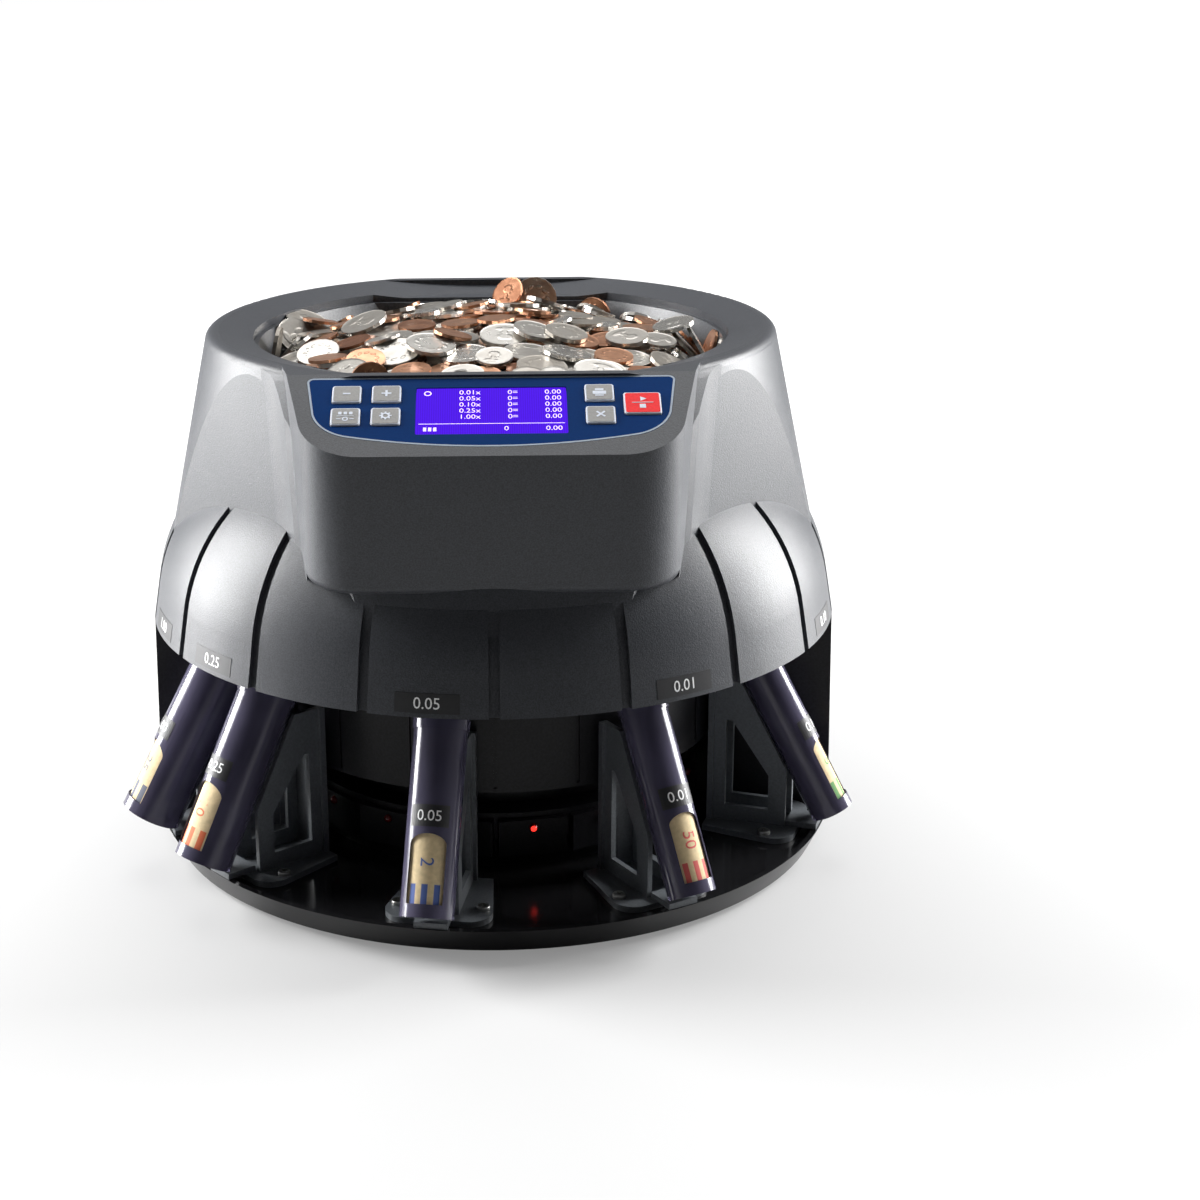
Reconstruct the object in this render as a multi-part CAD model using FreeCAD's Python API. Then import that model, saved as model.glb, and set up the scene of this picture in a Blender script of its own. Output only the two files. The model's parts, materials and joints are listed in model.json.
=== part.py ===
import FreeCAD
import Part
import math
import os

V = FreeCAD.Vector
O = V(0, 0, 0)
X = V(1, 0, 0)
Z = V(0, 0, 1)

# Coin sorting machine. Millimetres and degrees. The shapes are built about the spindle axis,
# front towards -Y, and moved at the end so that the origin is under the middle of the whole.

# casing
rim_z = 266.0              # overall height
hood_z = 120.5             # bottom edge of the hood
hood_r = 175.0             # radius of the hood's bottom edge
wall = 3.0
body_draft = 0.2145        # radius gained per millimetre going down
rim_r = hood_r - 33.4      # body radius at the rim
facet_az = 51.0            # the two flat cheeks beside the console
facet_dist = hood_r - 32.0
back_y = hood_r - 22.0     # flat back, low down
back_rim_y = back_y - 25.0
rim_thick = 8.0
rim_round = 5.0
rim_dish = 4.0             # the rim falls this much from its outer edge to the hopper mouth
skirt_wall = 4.0
skirt_knee = (hood_r - 3.7, hood_z + 21.5)
skirt_mid = (hood_r - 13.5, hood_z + 49.5)
skirt_top = (hood_r - 32.5, hood_z + 72.5)
groove_az = (-80, -60, -40, -20, 0, 20, 40, 60, 80)
groove_w = 5.0
groove_d = 2.4

# console
console_half = 80.0        # half width at the nose
console_taper = 0.2        # half width gained per millimetre going back
console_front = hood_r - 15.0
console_z = hood_z + 53.5  # bottom edge
console_depth = 90.0
console_r = 28.0           # plan radius of the nose corners
blend_r = 80.0             # hollow radius where the console's sides meet the cheeks
blend_sink = 0.02
panel_slope = 24.6
panel_reach = 58.7         # the panel's top edge, behind the nose
panel_y = panel_reach - console_front - body_draft * (rim_z - console_z)
overlay_half = 82.5
overlay_top = 3.0
overlay_side = (79.0, 29.0)
overlay_corner = (73.2, 39.6)
overlay_low = (64.0, 45.0)
overlay_bottom = 52.4
overlay_t = 1.0

# keys: name, x, distance down the panel, width, height
keys = (
    ("key_minus", -64.0, 15.4, 12.9, 11.9),
    ("key_plus", -46.4, 15.4, 12.9, 11.9),
    ("key_mode", -64.0, 31.4, 12.9, 11.9),
    ("key_set", -46.4, 31.4, 12.9, 11.9),
    ("key_print", 47.8, 15.8, 12.9, 11.9),
    ("key_clear", 47.8, 31.6, 12.9, 11.9),
    ("key_start_stop", 66.5, 23.7, 16.4, 15.1),
)
key_gap = 0.3
key_proud = 0.8
key_travel = 0.5
key_flange = 1.2
flange_t = 1.0
key_stem = 1.0             # how far a key reaches below its flange
key_r = 1.2
lcd_x = 0.0
lcd_s = 27.1
lcd_w = 66.7
lcd_h = 33.2
lcd_frame = 3.0
lcd_t = 4.6
board_drop = 3.0           # from the keys' feet to the key board
board_t = 1.6

# base
foot_h = 4.0
foot_r = 12.0
foot_stem_r = 3.0
foot_az = (0, 60, 120, 240, 300)
tray_r = hood_r - 4.0      # at its bottom edge
foot_ring = tray_r - 23.0
rear_foot_y = back_y - 19.0
tray_flare = 0.48
tray_rim_z = 16.5
floor_z = 13.5
tray_wall = 3.2
base_screw_az = (45, 135, 225, 315)
base_screw_r = 1.95

# pedestal and drum
drum_r = hood_r - 58.0
pedestal_r = drum_r - 14.0
neck_r = drum_r - 27.0
base_screw_ring = pedestal_r - 23.0
pedestal_z = 43.0
drum_z = pedestal_z + 17.0
led_z = pedestal_z - 7.0
led_r = 2.2

# sorting deck
deck_z = hood_z + 19.5     # underside
deck_t = 4.0
deck_r = hood_r - 14.5
deck_back = back_y - 7.5   # the deck's flat edge, clear of the hood's back
hub_r = 20.0
hub_drop = 7.0
rail_r = hood_r - 31.5
rail_w = 3.0
rail_h = 5.0
coin_gap = 0.4
chute_ring_r = hood_r - 24.0
chute_plate = 3.0
chute_wall = 1.5
boss_ring = hood_r - 18.8
boss_r = 4.0
boss_az = (30, 150, 210, 330)
hood_screw_r = 1.25

# rotor and drive
spindle_r = 6.0
run_gap = 0.05
seat_gap = 0.02
bearing_r = 14.0
bearing_w = 8.0
wheel_r = rail_r - 2.0
wheel_z = deck_z + deck_t + 2.5
wheel_t = 3.0
disc_r = 76.0
disc_z = wheel_z + wheel_t + 1.5
disc_t = 3.5
gear_module = 1.5
gear_teeth = 60
pinion_teeth = 18
gear_w = 7.0
gear_z = deck_z - hub_drop - gear_w - 2.0
backlash = 0.3
motor_r = 21.0
motor_h = 56.0
gearbox_h = 18.0
shaft_r = 3.0
bracket_t = 3.0
bracket_z = gear_z - 3.0 - bracket_t
bracket_post_x = 52.0
motor_z = bracket_z - motor_h
motor_y = gear_module * (gear_teeth + pinion_teeth) / 2

# hopper
mouth_r = rim_r - 22.9
mouth_front = -panel_y - 9.0
mouth_back = back_rim_y - 28.0
bowl_foot_r = disc_r + 4.0
bowl_foot_z = disc_z - 0.7
bowl_wall = 2.5
gate_w = 34.0
gate_h = 5.0
gate_axis_z = disc_z + disc_t + 9.0
bowl_lean = math.atan((mouth_r - bowl_foot_r) / (rim_z - rim_thick - bowl_foot_z))
gate_offset = 9.65         # from the bowl's wall to the gate roller's axis
gate_wall_y = bowl_foot_r + (gate_axis_z - bowl_foot_z) * math.tan(bowl_lean)
gate_axis_y = gate_wall_y + gate_offset / math.cos(bowl_lean)
bridge_back = 13.0         # from the gate roller's axis back to its bridge
gate_pin_r = 1.5
gate_roller_r = 6.0

# tubes: name, azimuth, coin diameter, coin thickness, coins in a roll
coins = (
    ("dollar", -70, 26.5, 2.0, 25),
    ("quarter", -50, 24.26, 1.75, 40),
    ("nickel", -10, 21.21, 1.95, 40),
    ("penny", 30, 19.05, 1.52, 50),
    ("dime", 70, 17.91, 1.35, 50),
)
widest_coin = max(d for name, az, d, t, n in coins)
chute_in_r = rail_r - widest_coin - 1.0 - chute_wall
chute_drop = 4.8           # down for each millimetre that the widest chute leans outwards
drum_top_r = chute_in_r - 2.5    # the drum steps in here, behind the chutes
drum_step_z = deck_z - chute_drop * (drum_r - chute_in_r)
outlet_az = (-70, -50, -30, -10, 10, 30, 50, 70)
tilt = 28.5
roll_gap = 0.4             # coin to paper, on the radius
paper = 0.3
paper_gap = 0.1
tube_wall = 1.2
tube_floor = 2.0
collar = 0.7
collar_len = 12.0
tube_low_z = tray_rim_z + 3.3   # lowest point of every tube
tube_top_gap = 1.8         # highest point of a tube below the hood
window_half = 42.0         # half angle of the window in a tube
window_low = 6.0
window_high = 38.0
cradle_r = hood_r - 17.0   # the tubes' lower line passes here
cradle_z = 47.0
cradle_gap = 0.4
roll_crimp = 6.0

# tube stands
stand_in_r = drum_r + 2.5
stand_out_r = cradle_r + 2.0
stand_z = hood_z - 27.5
stand_plate = 2.6
stand_spread = 0.72        # plate centre as a share of the tube's radius
foot_plate_t = 3.0
foot_plate_r = tray_r - 4.5
foot_plate_az = 9.4        # half angle of the wedge-shaped foot
foot_corner = 11.0
tongue_half = 8.0
tongue_r = tray_r + 5.0
stand_screw_r = 1.6
stand_screw_at = (foot_plate_r - 14.5, 20.5)

# rear housing and its sockets
rear_az = 80.0
rear_foot_r = hood_r + 2.0
rear_gap = 0.3
inlet = (62.0, 46.0, 27.6, 20.0)       # x, z, width, height
switch = (62.0, 80.0, 27.6, 13.6)
port = (-62.0, 46.0, 31.0, 12.6)
socket_gap = 0.1
rocker_gap = 0.35
rocker_pivot = 1.5         # pivot depth behind the back face
rocker_throw = 18.0
rocker_pin_r = 1.0
supply_z = (34.0, hood_z - 16.5)
board_z = (30.0, hood_z - 12.5)


def tan(a):
    return math.tan(math.radians(a))


def sin(a):
    return math.sin(math.radians(a))


def cos(a):
    return math.cos(math.radians(a))


def at_az(shape, az):
    # a shape made in the front radial plane, turned to its azimuth
    turned = shape.copy()
    turned.rotate(O, Z, az)
    return turned


def moved(shape, x, y, z):
    shape.translate(V(x, y, z))
    return shape


def lathe(points):
    # points are (radius, height)
    ring = [V(r, 0, z) for r, z in points]
    face = Part.Face(Part.makePolygon(ring + ring[:1]))
    return face.revolve(O, Z, 360)


def rod(r, z0, z1, x=0.0, y=0.0):
    return Part.makeCylinder(r, z1 - z0, V(x, y, z0))


def pipe(r_out, r_in, z0, z1, x=0.0, y=0.0):
    return rod(r_out, z0, z1, x, y).cut(rod(r_in, z0 - 1, z1 + 1, x, y))


def block(x0, x1, y0, y1, z0, z1):
    return Part.makeBox(x1 - x0, y1 - y0, z1 - z0, V(x0, y0, z0))


def prism(points, z0, z1):
    ring = [V(x, y, z0) for x, y in points]
    face = Part.Face(Part.makePolygon(ring + ring[:1]))
    return face.extrude(V(0, 0, z1 - z0))


def side_plate(points, x0, x1):
    # a plate standing in a radial plane at the front; points are (radius, height)
    ring = [V(x0, -r, z) for r, z in points]
    face = Part.Face(Part.makePolygon(ring + ring[:1]))
    return face.extrude(V(x1 - x0, 0, 0))


def rounded_block(w, h, r, z0, z1):
    body = block(-w / 2, w / 2, -h / 2, h / 2, z0, z1)
    upright = [e for e in body.Edges if abs(e.tangentAt(e.FirstParameter).z) > 0.9]
    return body.makeFillet(r, upright)


def behind(y_low, z_low, y_high, z_high, inset=0.0):
    # everything in front of a flat back that leans with height
    lean = (y_high - y_low) / (z_high - z_low)
    y0 = y_low - inset - lean * z_low
    y1 = y_low - inset + lean * (400 - z_low)
    return side_plate([(400, 0), (400, 400), (-y1, 400), (-y0, 0)], -400, 400)


def arc_centre(p1, p2, p3):
    arc = Part.Arc(V(p1[0], 0, p1[1]), V(p2[0], 0, p2[1]), V(p3[0], 0, p3[1])).toShape().Curve
    return arc.Center.x, arc.Center.z, arc.Radius


# casing

def skirt_block(inset, low):
    cx, cz, radius = arc_centre(skirt_knee, skirt_mid, skirt_top)

    def on_arc(point):
        away = math.atan2(point[1] - cz, point[0] - cx)
        return V(cx + (radius - inset) * math.cos(away), 0, cz + (radius - inset) * math.sin(away))

    knee = on_arc(skirt_knee)
    top = on_arc(skirt_top)
    foot_slope = (skirt_knee[0] - hood_r) / (skirt_knee[1] - hood_z)
    foot = V(hood_r - inset + foot_slope * (low - hood_z), 0, low)
    edges = [
        Part.makeLine(V(0, 0, low), foot),
        Part.makeLine(foot, knee),
        Part.Arc(knee, on_arc(skirt_mid), top).toShape(),
        Part.makeLine(top, V(0, 0, top.z)),
        Part.makeLine(V(0, 0, top.z), V(0, 0, low)),
    ]
    return Part.Face(Part.Wire(edges)).revolve(O, Z, 360)


def body_block(inset, top):
    low_z = skirt_knee[1]
    low_r = rim_r + (rim_z - low_z) * body_draft - inset
    top_r = rim_r + (rim_z - top) * body_draft - inset
    body = lathe([(0, low_z), (low_r, low_z), (top_r, top), (0, top)])
    for side in (-1, 1):
        cheek = block(-300, 300, -facet_dist + inset, 300, 0, 400)
        body = body.common(at_az(cheek, side * facet_az))
    return body


def console_outline(inset):
    half = console_half - inset
    back_half = half + console_taper * console_depth
    front = -(console_front - inset)
    back = -(console_front - console_depth)
    points = [(-back_half, back), (-half, front), (half, front), (back_half, back)]
    return points


def console_block(inset):
    points = console_outline(inset)
    height = rim_z - console_z
    plan = prism(points, 0, 1)
    nose = [e for e in plan.Edges if abs(e.tangentAt(e.FirstParameter).z) > 0.9]
    nose = [e for e in nose if e.CenterOfMass.y < console_depth / 2 - console_front]
    plan = plan.makeFillet(console_r - inset, nose)
    base = [f for f in plan.Faces if f.CenterOfMass.z < 0.01 and abs(f.normalAt(0, 0).z) > 0.9][0]
    base.translate(V(0, 0, console_z + inset))
    solid = base.extrude(V(0, -body_draft * height, height))
    under_rim = block(-200, 200, -300, 0, 0, rim_z - inset)
    return solid.common(under_rim).common(on_panel(block(-200, 200, -200, 200, -200, -inset)))


def console_blend():
    # fills the corner between a console side and the cheek behind it with a broad hollow
    heading = math.degrees(math.atan2(1, console_taper))
    half_turn = (heading - facet_az) / 2
    low_z = console_z - 8.0
    front = console_front - 8.0 * body_draft
    reach = console_half * sin(facet_az) + front * cos(facet_az) - facet_dist
    shrink = cos(facet_az) - console_taper * sin(facet_az)
    back = reach / shrink
    corner = V(console_half + console_taper * back, back - console_front + 8.0 * body_draft, low_z)
    rise = body_draft * cos(facet_az) / shrink
    climb = V(console_taper * rise, rise - body_draft, 1) * (rim_z - low_z)
    forward = V(-cos(heading), -sin(heading), 0)
    backward = V(cos(facet_az), sin(facet_az), 0)
    outward = (forward + backward).normalize()
    sink = outward * -blend_sink
    run = blend_r * tan(half_turn)
    start = corner + forward * run + sink
    end = corner + backward * run + sink
    middle = corner + outward * (blend_r / cos(half_turn) - blend_r) + sink
    root = corner - outward * 2.0
    edges = [Part.Arc(start, middle, end).toShape(),
             Part.makeLine(end, root), Part.makeLine(root, start)]
    right = Part.Face(Part.Wire(edges)).extrude(climb)
    left = right.mirror(O, X)
    depth = blend_r / cos(half_turn) - blend_r
    envelope = body_block(-depth, rim_z)
    top = [e for e in envelope.Edges if e.BoundBox.ZMin > rim_z - 0.1]
    envelope = envelope.makeFillet(rim_round + depth, top).fuse(console_block(0))
    envelope = envelope.fuse(skirt_block(0, hood_z))
    below_panel = on_panel(block(-200, 200, -200, 200, -200, 0))
    return right.fuse(left).common(envelope).common(below_panel)


def on_panel(shape):
    # panel frame: x across, y up the slope from the panel's top edge, z out of the panel
    shape.rotate(O, X, panel_slope)
    shape.translate(V(0, panel_y, rim_z))
    return shape


def mouth_block(inset, z0, z1, r_low, r_high):
    cone = lathe([(0, z0), (r_low - inset, z0), (r_high - inset, z1), (0, z1)])
    return cone.common(block(-300, 300, -(mouth_front - inset), mouth_back - inset, z0 - 1, z1 + 1))


def rim_cut():
    # the rim falls towards the hopper, so the top is a very shallow dish
    dish_r = rim_r - rim_round - 1.0
    low_r = mouth_r - 8.0
    fall = rim_dish * (dish_r - low_r) / (dish_r - mouth_r)
    dish = lathe([(0, rim_z - fall), (low_r, rim_z - fall),
                  (dish_r, rim_z), (dish_r, rim_z + 5), (0, rim_z + 5)])
    back = back_rim_y - rim_round - 1.0
    return dish.common(block(-300, 300, panel_y + 3.0, back, rim_z - 20, rim_z + 6))


def overlay_solid(grow, z0, z1):
    side = 1
    edges = []

    def p(point, s):
        return V(s * (point[0] + grow), -(point[1] + grow), z0)

    top_left = V(-(overlay_half + grow), -(overlay_top - grow), z0)
    top_right = V(overlay_half + grow, -(overlay_top - grow), z0)
    bottom = V(0, -(overlay_bottom + grow), z0)
    edges.append(Part.makeLine(top_left, top_right))
    edges.append(Part.makeLine(top_right, p(overlay_side, side)))
    edges.append(Part.Arc(p(overlay_side, side), p(overlay_corner, side),
                          p(overlay_low, side)).toShape())
    edges.append(Part.Arc(p(overlay_low, side), bottom, p(overlay_low, -side)).toShape())
    edges.append(Part.Arc(p(overlay_low, -side), p(overlay_corner, -side),
                          p(overlay_side, -side)).toShape())
    edges.append(Part.makeLine(p(overlay_side, -side), top_left))
    solid = Part.Face(Part.Wire(edges)).extrude(V(0, 0, z1 - z0))
    corners = [e for e in solid.Edges
               if abs(e.tangentAt(e.FirstParameter).z) > 0.9 and e.CenterOfMass.y > -4]
    return solid.makeFillet(3.0 + grow, corners)


def panel_holes(gap, z0, z1):
    cut = []
    for name, x, s, w, h in keys:
        cut.append(moved(rounded_block(w + 2 * gap, h + 2 * gap, key_r + gap, z0, z1), x, -s, 0))
    return cut


def grooves():
    band = skirt_block(-1.0, hood_z - 1).cut(skirt_block(groove_d, hood_z - 2))
    slots = []
    for az in groove_az:
        slot = block(-groove_w / 2, groove_w / 2, -hood_r - 5, -skirt_top[0] + 12,
                     hood_z - 1, skirt_top[1] + 1)
        slots.append(at_az(slot, az))
    cut = band.common(slots[0].fuse(slots[1:]))
    return cut.cut(body_block(0, rim_z)).cut(console_block(0)).cut(console_blend())


def centre_tab():
    # the small tongue that closes the top of the middle groove
    tongue = [V(-4.4, 0, console_z + 2), V(4.4, 0, console_z + 2),
              V(2.2, 0, console_z - 11), V(-2.2, 0, console_z - 11)]
    face = Part.Face(Part.makePolygon(tongue + tongue[:1]))
    solid = moved(face, 0, 25 - hood_r, 0).extrude(V(0, -30, 0))
    return solid.common(skirt_block(0.2, hood_z))


def hood():
    body = body_block(0, rim_z)
    top = [e for e in body.Edges if e.BoundBox.ZMin > rim_z - 0.1]
    body = body.makeFillet(rim_round, top)
    console = console_block(0)
    low = [e for e in console.Edges if e.BoundBox.ZMax < console_z + 0.1]
    low = [e for e in low if e.CenterOfMass.y < console_depth - console_front - 1]
    console = console.makeFillet(5.0, low)
    outer = body.fuse([console, skirt_block(0, hood_z), console_blend()])
    outer = outer.common(behind(back_y, hood_z, back_rim_y, rim_z))
    inner = body_block(wall, rim_z - rim_thick)
    inner = inner.fuse([console_block(wall), skirt_block(skirt_wall, hood_z - 1)])
    inner = inner.common(behind(back_y, hood_z, back_rim_y, rim_z, wall))
    shell = outer.cut(inner)
    posts = []
    for az in boss_az:
        post = rod(boss_r, deck_z + deck_t, skirt_top[1], 0, -boss_ring)
        posts.append(at_az(post, az))
    posts = posts[0].fuse(posts[1:]).common(skirt_block(1.5, hood_z))
    shell = shell.fuse(posts)
    shell = shell.cut(mouth_block(0, rim_z - rim_thick - 1, rim_z + 2, mouth_r, mouth_r))
    shell = shell.cut(rim_cut())
    shell = shell.cut(grooves())
    shell = shell.fuse(centre_tab())
    shell = shell.cut(on_panel(overlay_solid(0.2, -overlay_t, 10)))
    openings = panel_holes(key_gap, -20, 10)
    openings.append(moved(rounded_block(lcd_w + 1, lcd_h + 1, 1.0, -20, 10), lcd_x, -lcd_s, 0))
    cutter = openings[0].fuse(openings[1:])
    shell = shell.cut(on_panel(cutter))
    pilot = rod(hood_screw_r + 0.05, deck_z, deck_z + deck_t + 10, 0, -boss_ring)
    pilots = [at_az(pilot, az) for az in boss_az]
    return shell.cut(pilots[0].fuse(pilots[1:]))


def hood_screws():
    screws = []
    for az in boss_az:
        shank = rod(hood_screw_r, deck_z, deck_z + deck_t + 8, 0, -boss_ring)
        head = rod(2.9, deck_z - 2.2, deck_z, 0, -boss_ring)
        screws.append(at_az(shank.fuse(head), az))
    return Part.makeCompound(screws)


def bowl():
    top = rim_z - rim_thick
    outer = mouth_block(0, bowl_foot_z, top, bowl_foot_r, mouth_r)
    spread = (mouth_r - bowl_foot_r) / (top - bowl_foot_z)
    inner = mouth_block(bowl_wall, bowl_foot_z - 1, top + 1, bowl_foot_r - spread, mouth_r + spread)
    flange = mouth_block(-5.0, top - 2.5, top, mouth_r, mouth_r)
    gate = block(-gate_w / 2, gate_w / 2, bowl_foot_r - 10, bowl_foot_r + 12,
                 disc_z + disc_t, disc_z + disc_t + gate_h)
    return outer.fuse(flange).cut(inner).cut(gate)


def gate_bracket():
    bridge_y = gate_axis_y - bridge_back
    cheeks = []
    for side in (-1, 1):
        x = side * (gate_w / 2 + 4)
        cheeks.append(block(x - 1.5, x + 1.5, bowl_foot_r + 1, gate_axis_y + 6,
                            gate_axis_z - 6, gate_axis_z + 6))
        cheeks.append(block(x - 1.5, x + 1.5, bridge_y, bridge_y + 10,
                            gate_axis_z, gate_axis_z + 10))
    bridge = block(-gate_w / 2 - 5.5, gate_w / 2 + 5.5, bridge_y, bridge_y + 10,
                   gate_axis_z + 7, gate_axis_z + 10)
    solid = bridge.fuse(cheeks)
    spread = (mouth_r - bowl_foot_r) / (rim_z - rim_thick - bowl_foot_z)
    keep = lathe([(0, bowl_foot_z), (bowl_foot_r + seat_gap, bowl_foot_z),
                  (bowl_foot_r + seat_gap + spread * 60, bowl_foot_z + 60), (0, bowl_foot_z + 60)])
    solid = solid.cut(keep)
    start = V(-gate_w / 2 - 10, gate_axis_y, gate_axis_z)
    return solid.cut(Part.makeCylinder(gate_pin_r + seat_gap, gate_w + 20, start, X))


def gate_pin():
    start = V(-gate_w / 2 - 5.8, gate_axis_y, gate_axis_z)
    return Part.makeCylinder(gate_pin_r, gate_w + 11.6, start, X)


def gate_roller():
    length = gate_w - 6
    start = V(-length / 2, gate_axis_y, gate_axis_z)
    roller = Part.makeCylinder(gate_roller_r, length, start, X)
    return roller.cut(Part.makeCylinder(gate_pin_r + run_gap, length, start, X))


# control panel

def panel_overlay():
    sheet = overlay_solid(0, -overlay_t, 0)
    cuts = panel_holes(key_gap, -5, 5)
    cuts.append(moved(rounded_block(lcd_w, lcd_h, 0.8, -5, 5), lcd_x, -lcd_s, 0))
    return on_panel(sheet.cut(cuts[0].fuse(cuts[1:])))


def key_foot():
    # lowest point of a key below the panel face
    return -wall - key_gap - flange_t - key_stem


def key(x, s, w, h):
    cap = rounded_block(w, h, key_r, key_foot(), key_proud)
    rim = [e for e in cap.Edges if e.BoundBox.ZMin > key_proud - 0.01]
    cap = cap.makeFillet(0.5, rim)
    flange_top = -wall - key_gap
    flange = rounded_block(w + 2 * key_flange, h + 2 * key_flange, key_r,
                           flange_top - flange_t, flange_top)
    return on_panel(moved(cap.fuse(flange), x, -s, 0))


def lcd_module():
    frame = rounded_block(lcd_w + 2 * lcd_frame, lcd_h + 2 * lcd_frame, 1.0, -wall - lcd_t, -wall - 0.2)
    glass = rounded_block(lcd_w - 0.4, lcd_h - 0.4, 0.8, -wall - 0.2, -0.3)
    return on_panel(moved(frame.fuse(glass), lcd_x, -lcd_s, 0))


def key_board():
    board_top = key_foot() - board_drop
    parts = [block(-78, 78, -44, -6, board_top - board_t, board_top)]
    switch_top = key_foot() - key_travel - 0.3
    for name, x, s, w, h in keys:
        parts.append(block(x - 3, x + 3, -s - 3, -s + 3, board_top, switch_top))
    parts.append(block(-10, 10, -44, -38, board_top - board_t - 5, board_top - board_t))
    return on_panel(parts[0].fuse(parts[1:]))


# base

def tray_out(z):
    return tray_r + tray_flare * (z - foot_h)


def tray():
    def inner(z):
        return tray_out(z) - tray_wall

    under = floor_z - wall
    shell = lathe([(0, under), (inner(under), under), (inner(foot_h), foot_h), (tray_out(foot_h), foot_h),
                   (tray_out(tray_rim_z), tray_rim_z), (inner(tray_rim_z), tray_rim_z),
                   (inner(floor_z), floor_z), (0, floor_z)])
    bosses = [at_az(rod(foot_r + 2, foot_h, under, 0, -foot_ring), az) for az in foot_az]
    shell = shell.fuse(bosses)
    back = block(-300, 300, -300, back_y, 0, 30)
    hollow = block(-300, 300, -300, back_y - tray_wall, 0, under)
    flat = lathe([(0, foot_h), (tray_out(foot_h), foot_h), (tray_out(under), under), (0, under)])
    flat = flat.common(back).cut(hollow)
    shell = shell.common(back).fuse(flat)
    shell = shell.fuse(rod(foot_r + 2, foot_h, under, 0, rear_foot_y))
    stem_r = foot_stem_r + seat_gap
    cuts = [at_az(rod(stem_r, 0, under - 1.0, 0, -foot_ring), az) for az in foot_az]
    cuts.append(rod(stem_r, 0, under - 1.0, 0, rear_foot_y))
    for az in base_screw_az:
        cuts.append(at_az(rod(base_screw_r + 0.15, 0, floor_z + 5, 0, -base_screw_ring), az))
    for name, az, d, t, n in coins:
        for side in (-1, 1):
            pilot = rod(stand_screw_r - 0.2, 0, 30, side * stand_screw_at[1], -stand_screw_at[0])
            cuts.append(at_az(pilot, az))
    return shell.cut(cuts[0].fuse(cuts[1:]))


def rubber_feet():
    under = floor_z - wall
    feet = []
    spots = [V(foot_ring * sin(az), -foot_ring * cos(az), 0) for az in foot_az]
    spots.append(V(0, rear_foot_y, 0))
    for spot in spots:
        pad = rod(foot_r, 0, foot_h, spot.x, spot.y)
        rim = [e for e in pad.Edges if e.BoundBox.ZMax < 0.1]
        pad = pad.makeFillet(1.0, rim)
        feet.append(pad.fuse(rod(foot_stem_r, foot_h - 1, under - 1.2, spot.x, spot.y)))
    return Part.makeCompound(feet)


def base_screws():
    screws = []
    under = floor_z - wall
    for az in base_screw_az:
        head = rod(3.6, under - 2.4, under, 0, -base_screw_ring)
        shank = rod(base_screw_r, under, floor_z + 8, 0, -base_screw_ring)
        screws.append(at_az(head.fuse(shank), az))
    return Part.makeCompound(screws)


def pedestal():
    shell = lathe([(pedestal_r - 6, floor_z), (pedestal_r - 3, floor_z), (pedestal_r - 3, pedestal_z - 14),
                   (pedestal_r, pedestal_z - 14), (pedestal_r, pedestal_z), (30, pedestal_z),
                   (30, pedestal_z - wall), (pedestal_r - 6, pedestal_z - wall)])
    parts = []
    for az in outlet_az:
        shoe = block(-17, 17, -pedestal_r - 3, -pedestal_r + 5, floor_z + 8, pedestal_z - 3)
        parts.append(at_az(shoe, az))
    for az in base_screw_az:
        parts.append(at_az(rod(5, floor_z, pedestal_z - wall, 0, -base_screw_ring), az))
    shell = shell.fuse(parts)
    pilot = rod(base_screw_r + 0.05, 0, floor_z + 10, 0, -base_screw_ring)
    cuts = [at_az(pilot, az) for az in base_screw_az]
    for az in outlet_az:
        hole = Part.makeCylinder(led_r + seat_gap, 14, V(0, -pedestal_r + 8, led_z), V(0, -1, 0))
        cuts.append(at_az(hole, az))
    return shell.cut(cuts[0].fuse(cuts[1:]))


def sensor_leds():
    lamps = []
    for az in outlet_az:
        start = V(0, -pedestal_r + 4, led_z)
        stem = Part.makeCylinder(led_r, 7, start, V(0, -1, 0))
        dome = Part.makeSphere(led_r, V(0, -pedestal_r - 3, led_z))
        lamps.append(at_az(stem.fuse(dome), az))
    return Part.makeCompound(lamps)


def drum():
    shell = lathe([(neck_r - wall, pedestal_z), (neck_r, pedestal_z), (neck_r, drum_z), (drum_r, drum_z),
                   (drum_r, drum_step_z), (drum_top_r, drum_step_z), (drum_top_r, deck_z),
                   (drum_top_r - wall, deck_z), (drum_top_r - wall, drum_step_z - wall),
                   (drum_r - wall, drum_step_z - wall), (drum_r - wall, drum_z + wall),
                   (neck_r - wall, drum_z + wall)])
    seams = []
    for az in groove_az:
        seam = block(-0.9, 0.9, -drum_r - 1, -drum_r + 1.0, drum_z + 2, drum_step_z - 2)
        seams.append(at_az(seam, az))
    return shell.cut(seams[0].fuse(seams[1:]))


# sorting deck

def tube_r(d):
    return d / 2 + roll_gap + paper + paper_gap + tube_wall


def tube_axis_r(d, z):
    return cradle_r + (cradle_z - z) * tan(tilt) + tube_r(d) / cos(tilt)


def tube_top_z(d):
    return hood_z - tube_top_gap - (tube_r(d) + collar) * sin(tilt)


def tube_low(d):
    return tube_low_z + tube_r(d) * sin(tilt)


def aperture_r(d):
    return rail_r - d / 2


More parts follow.
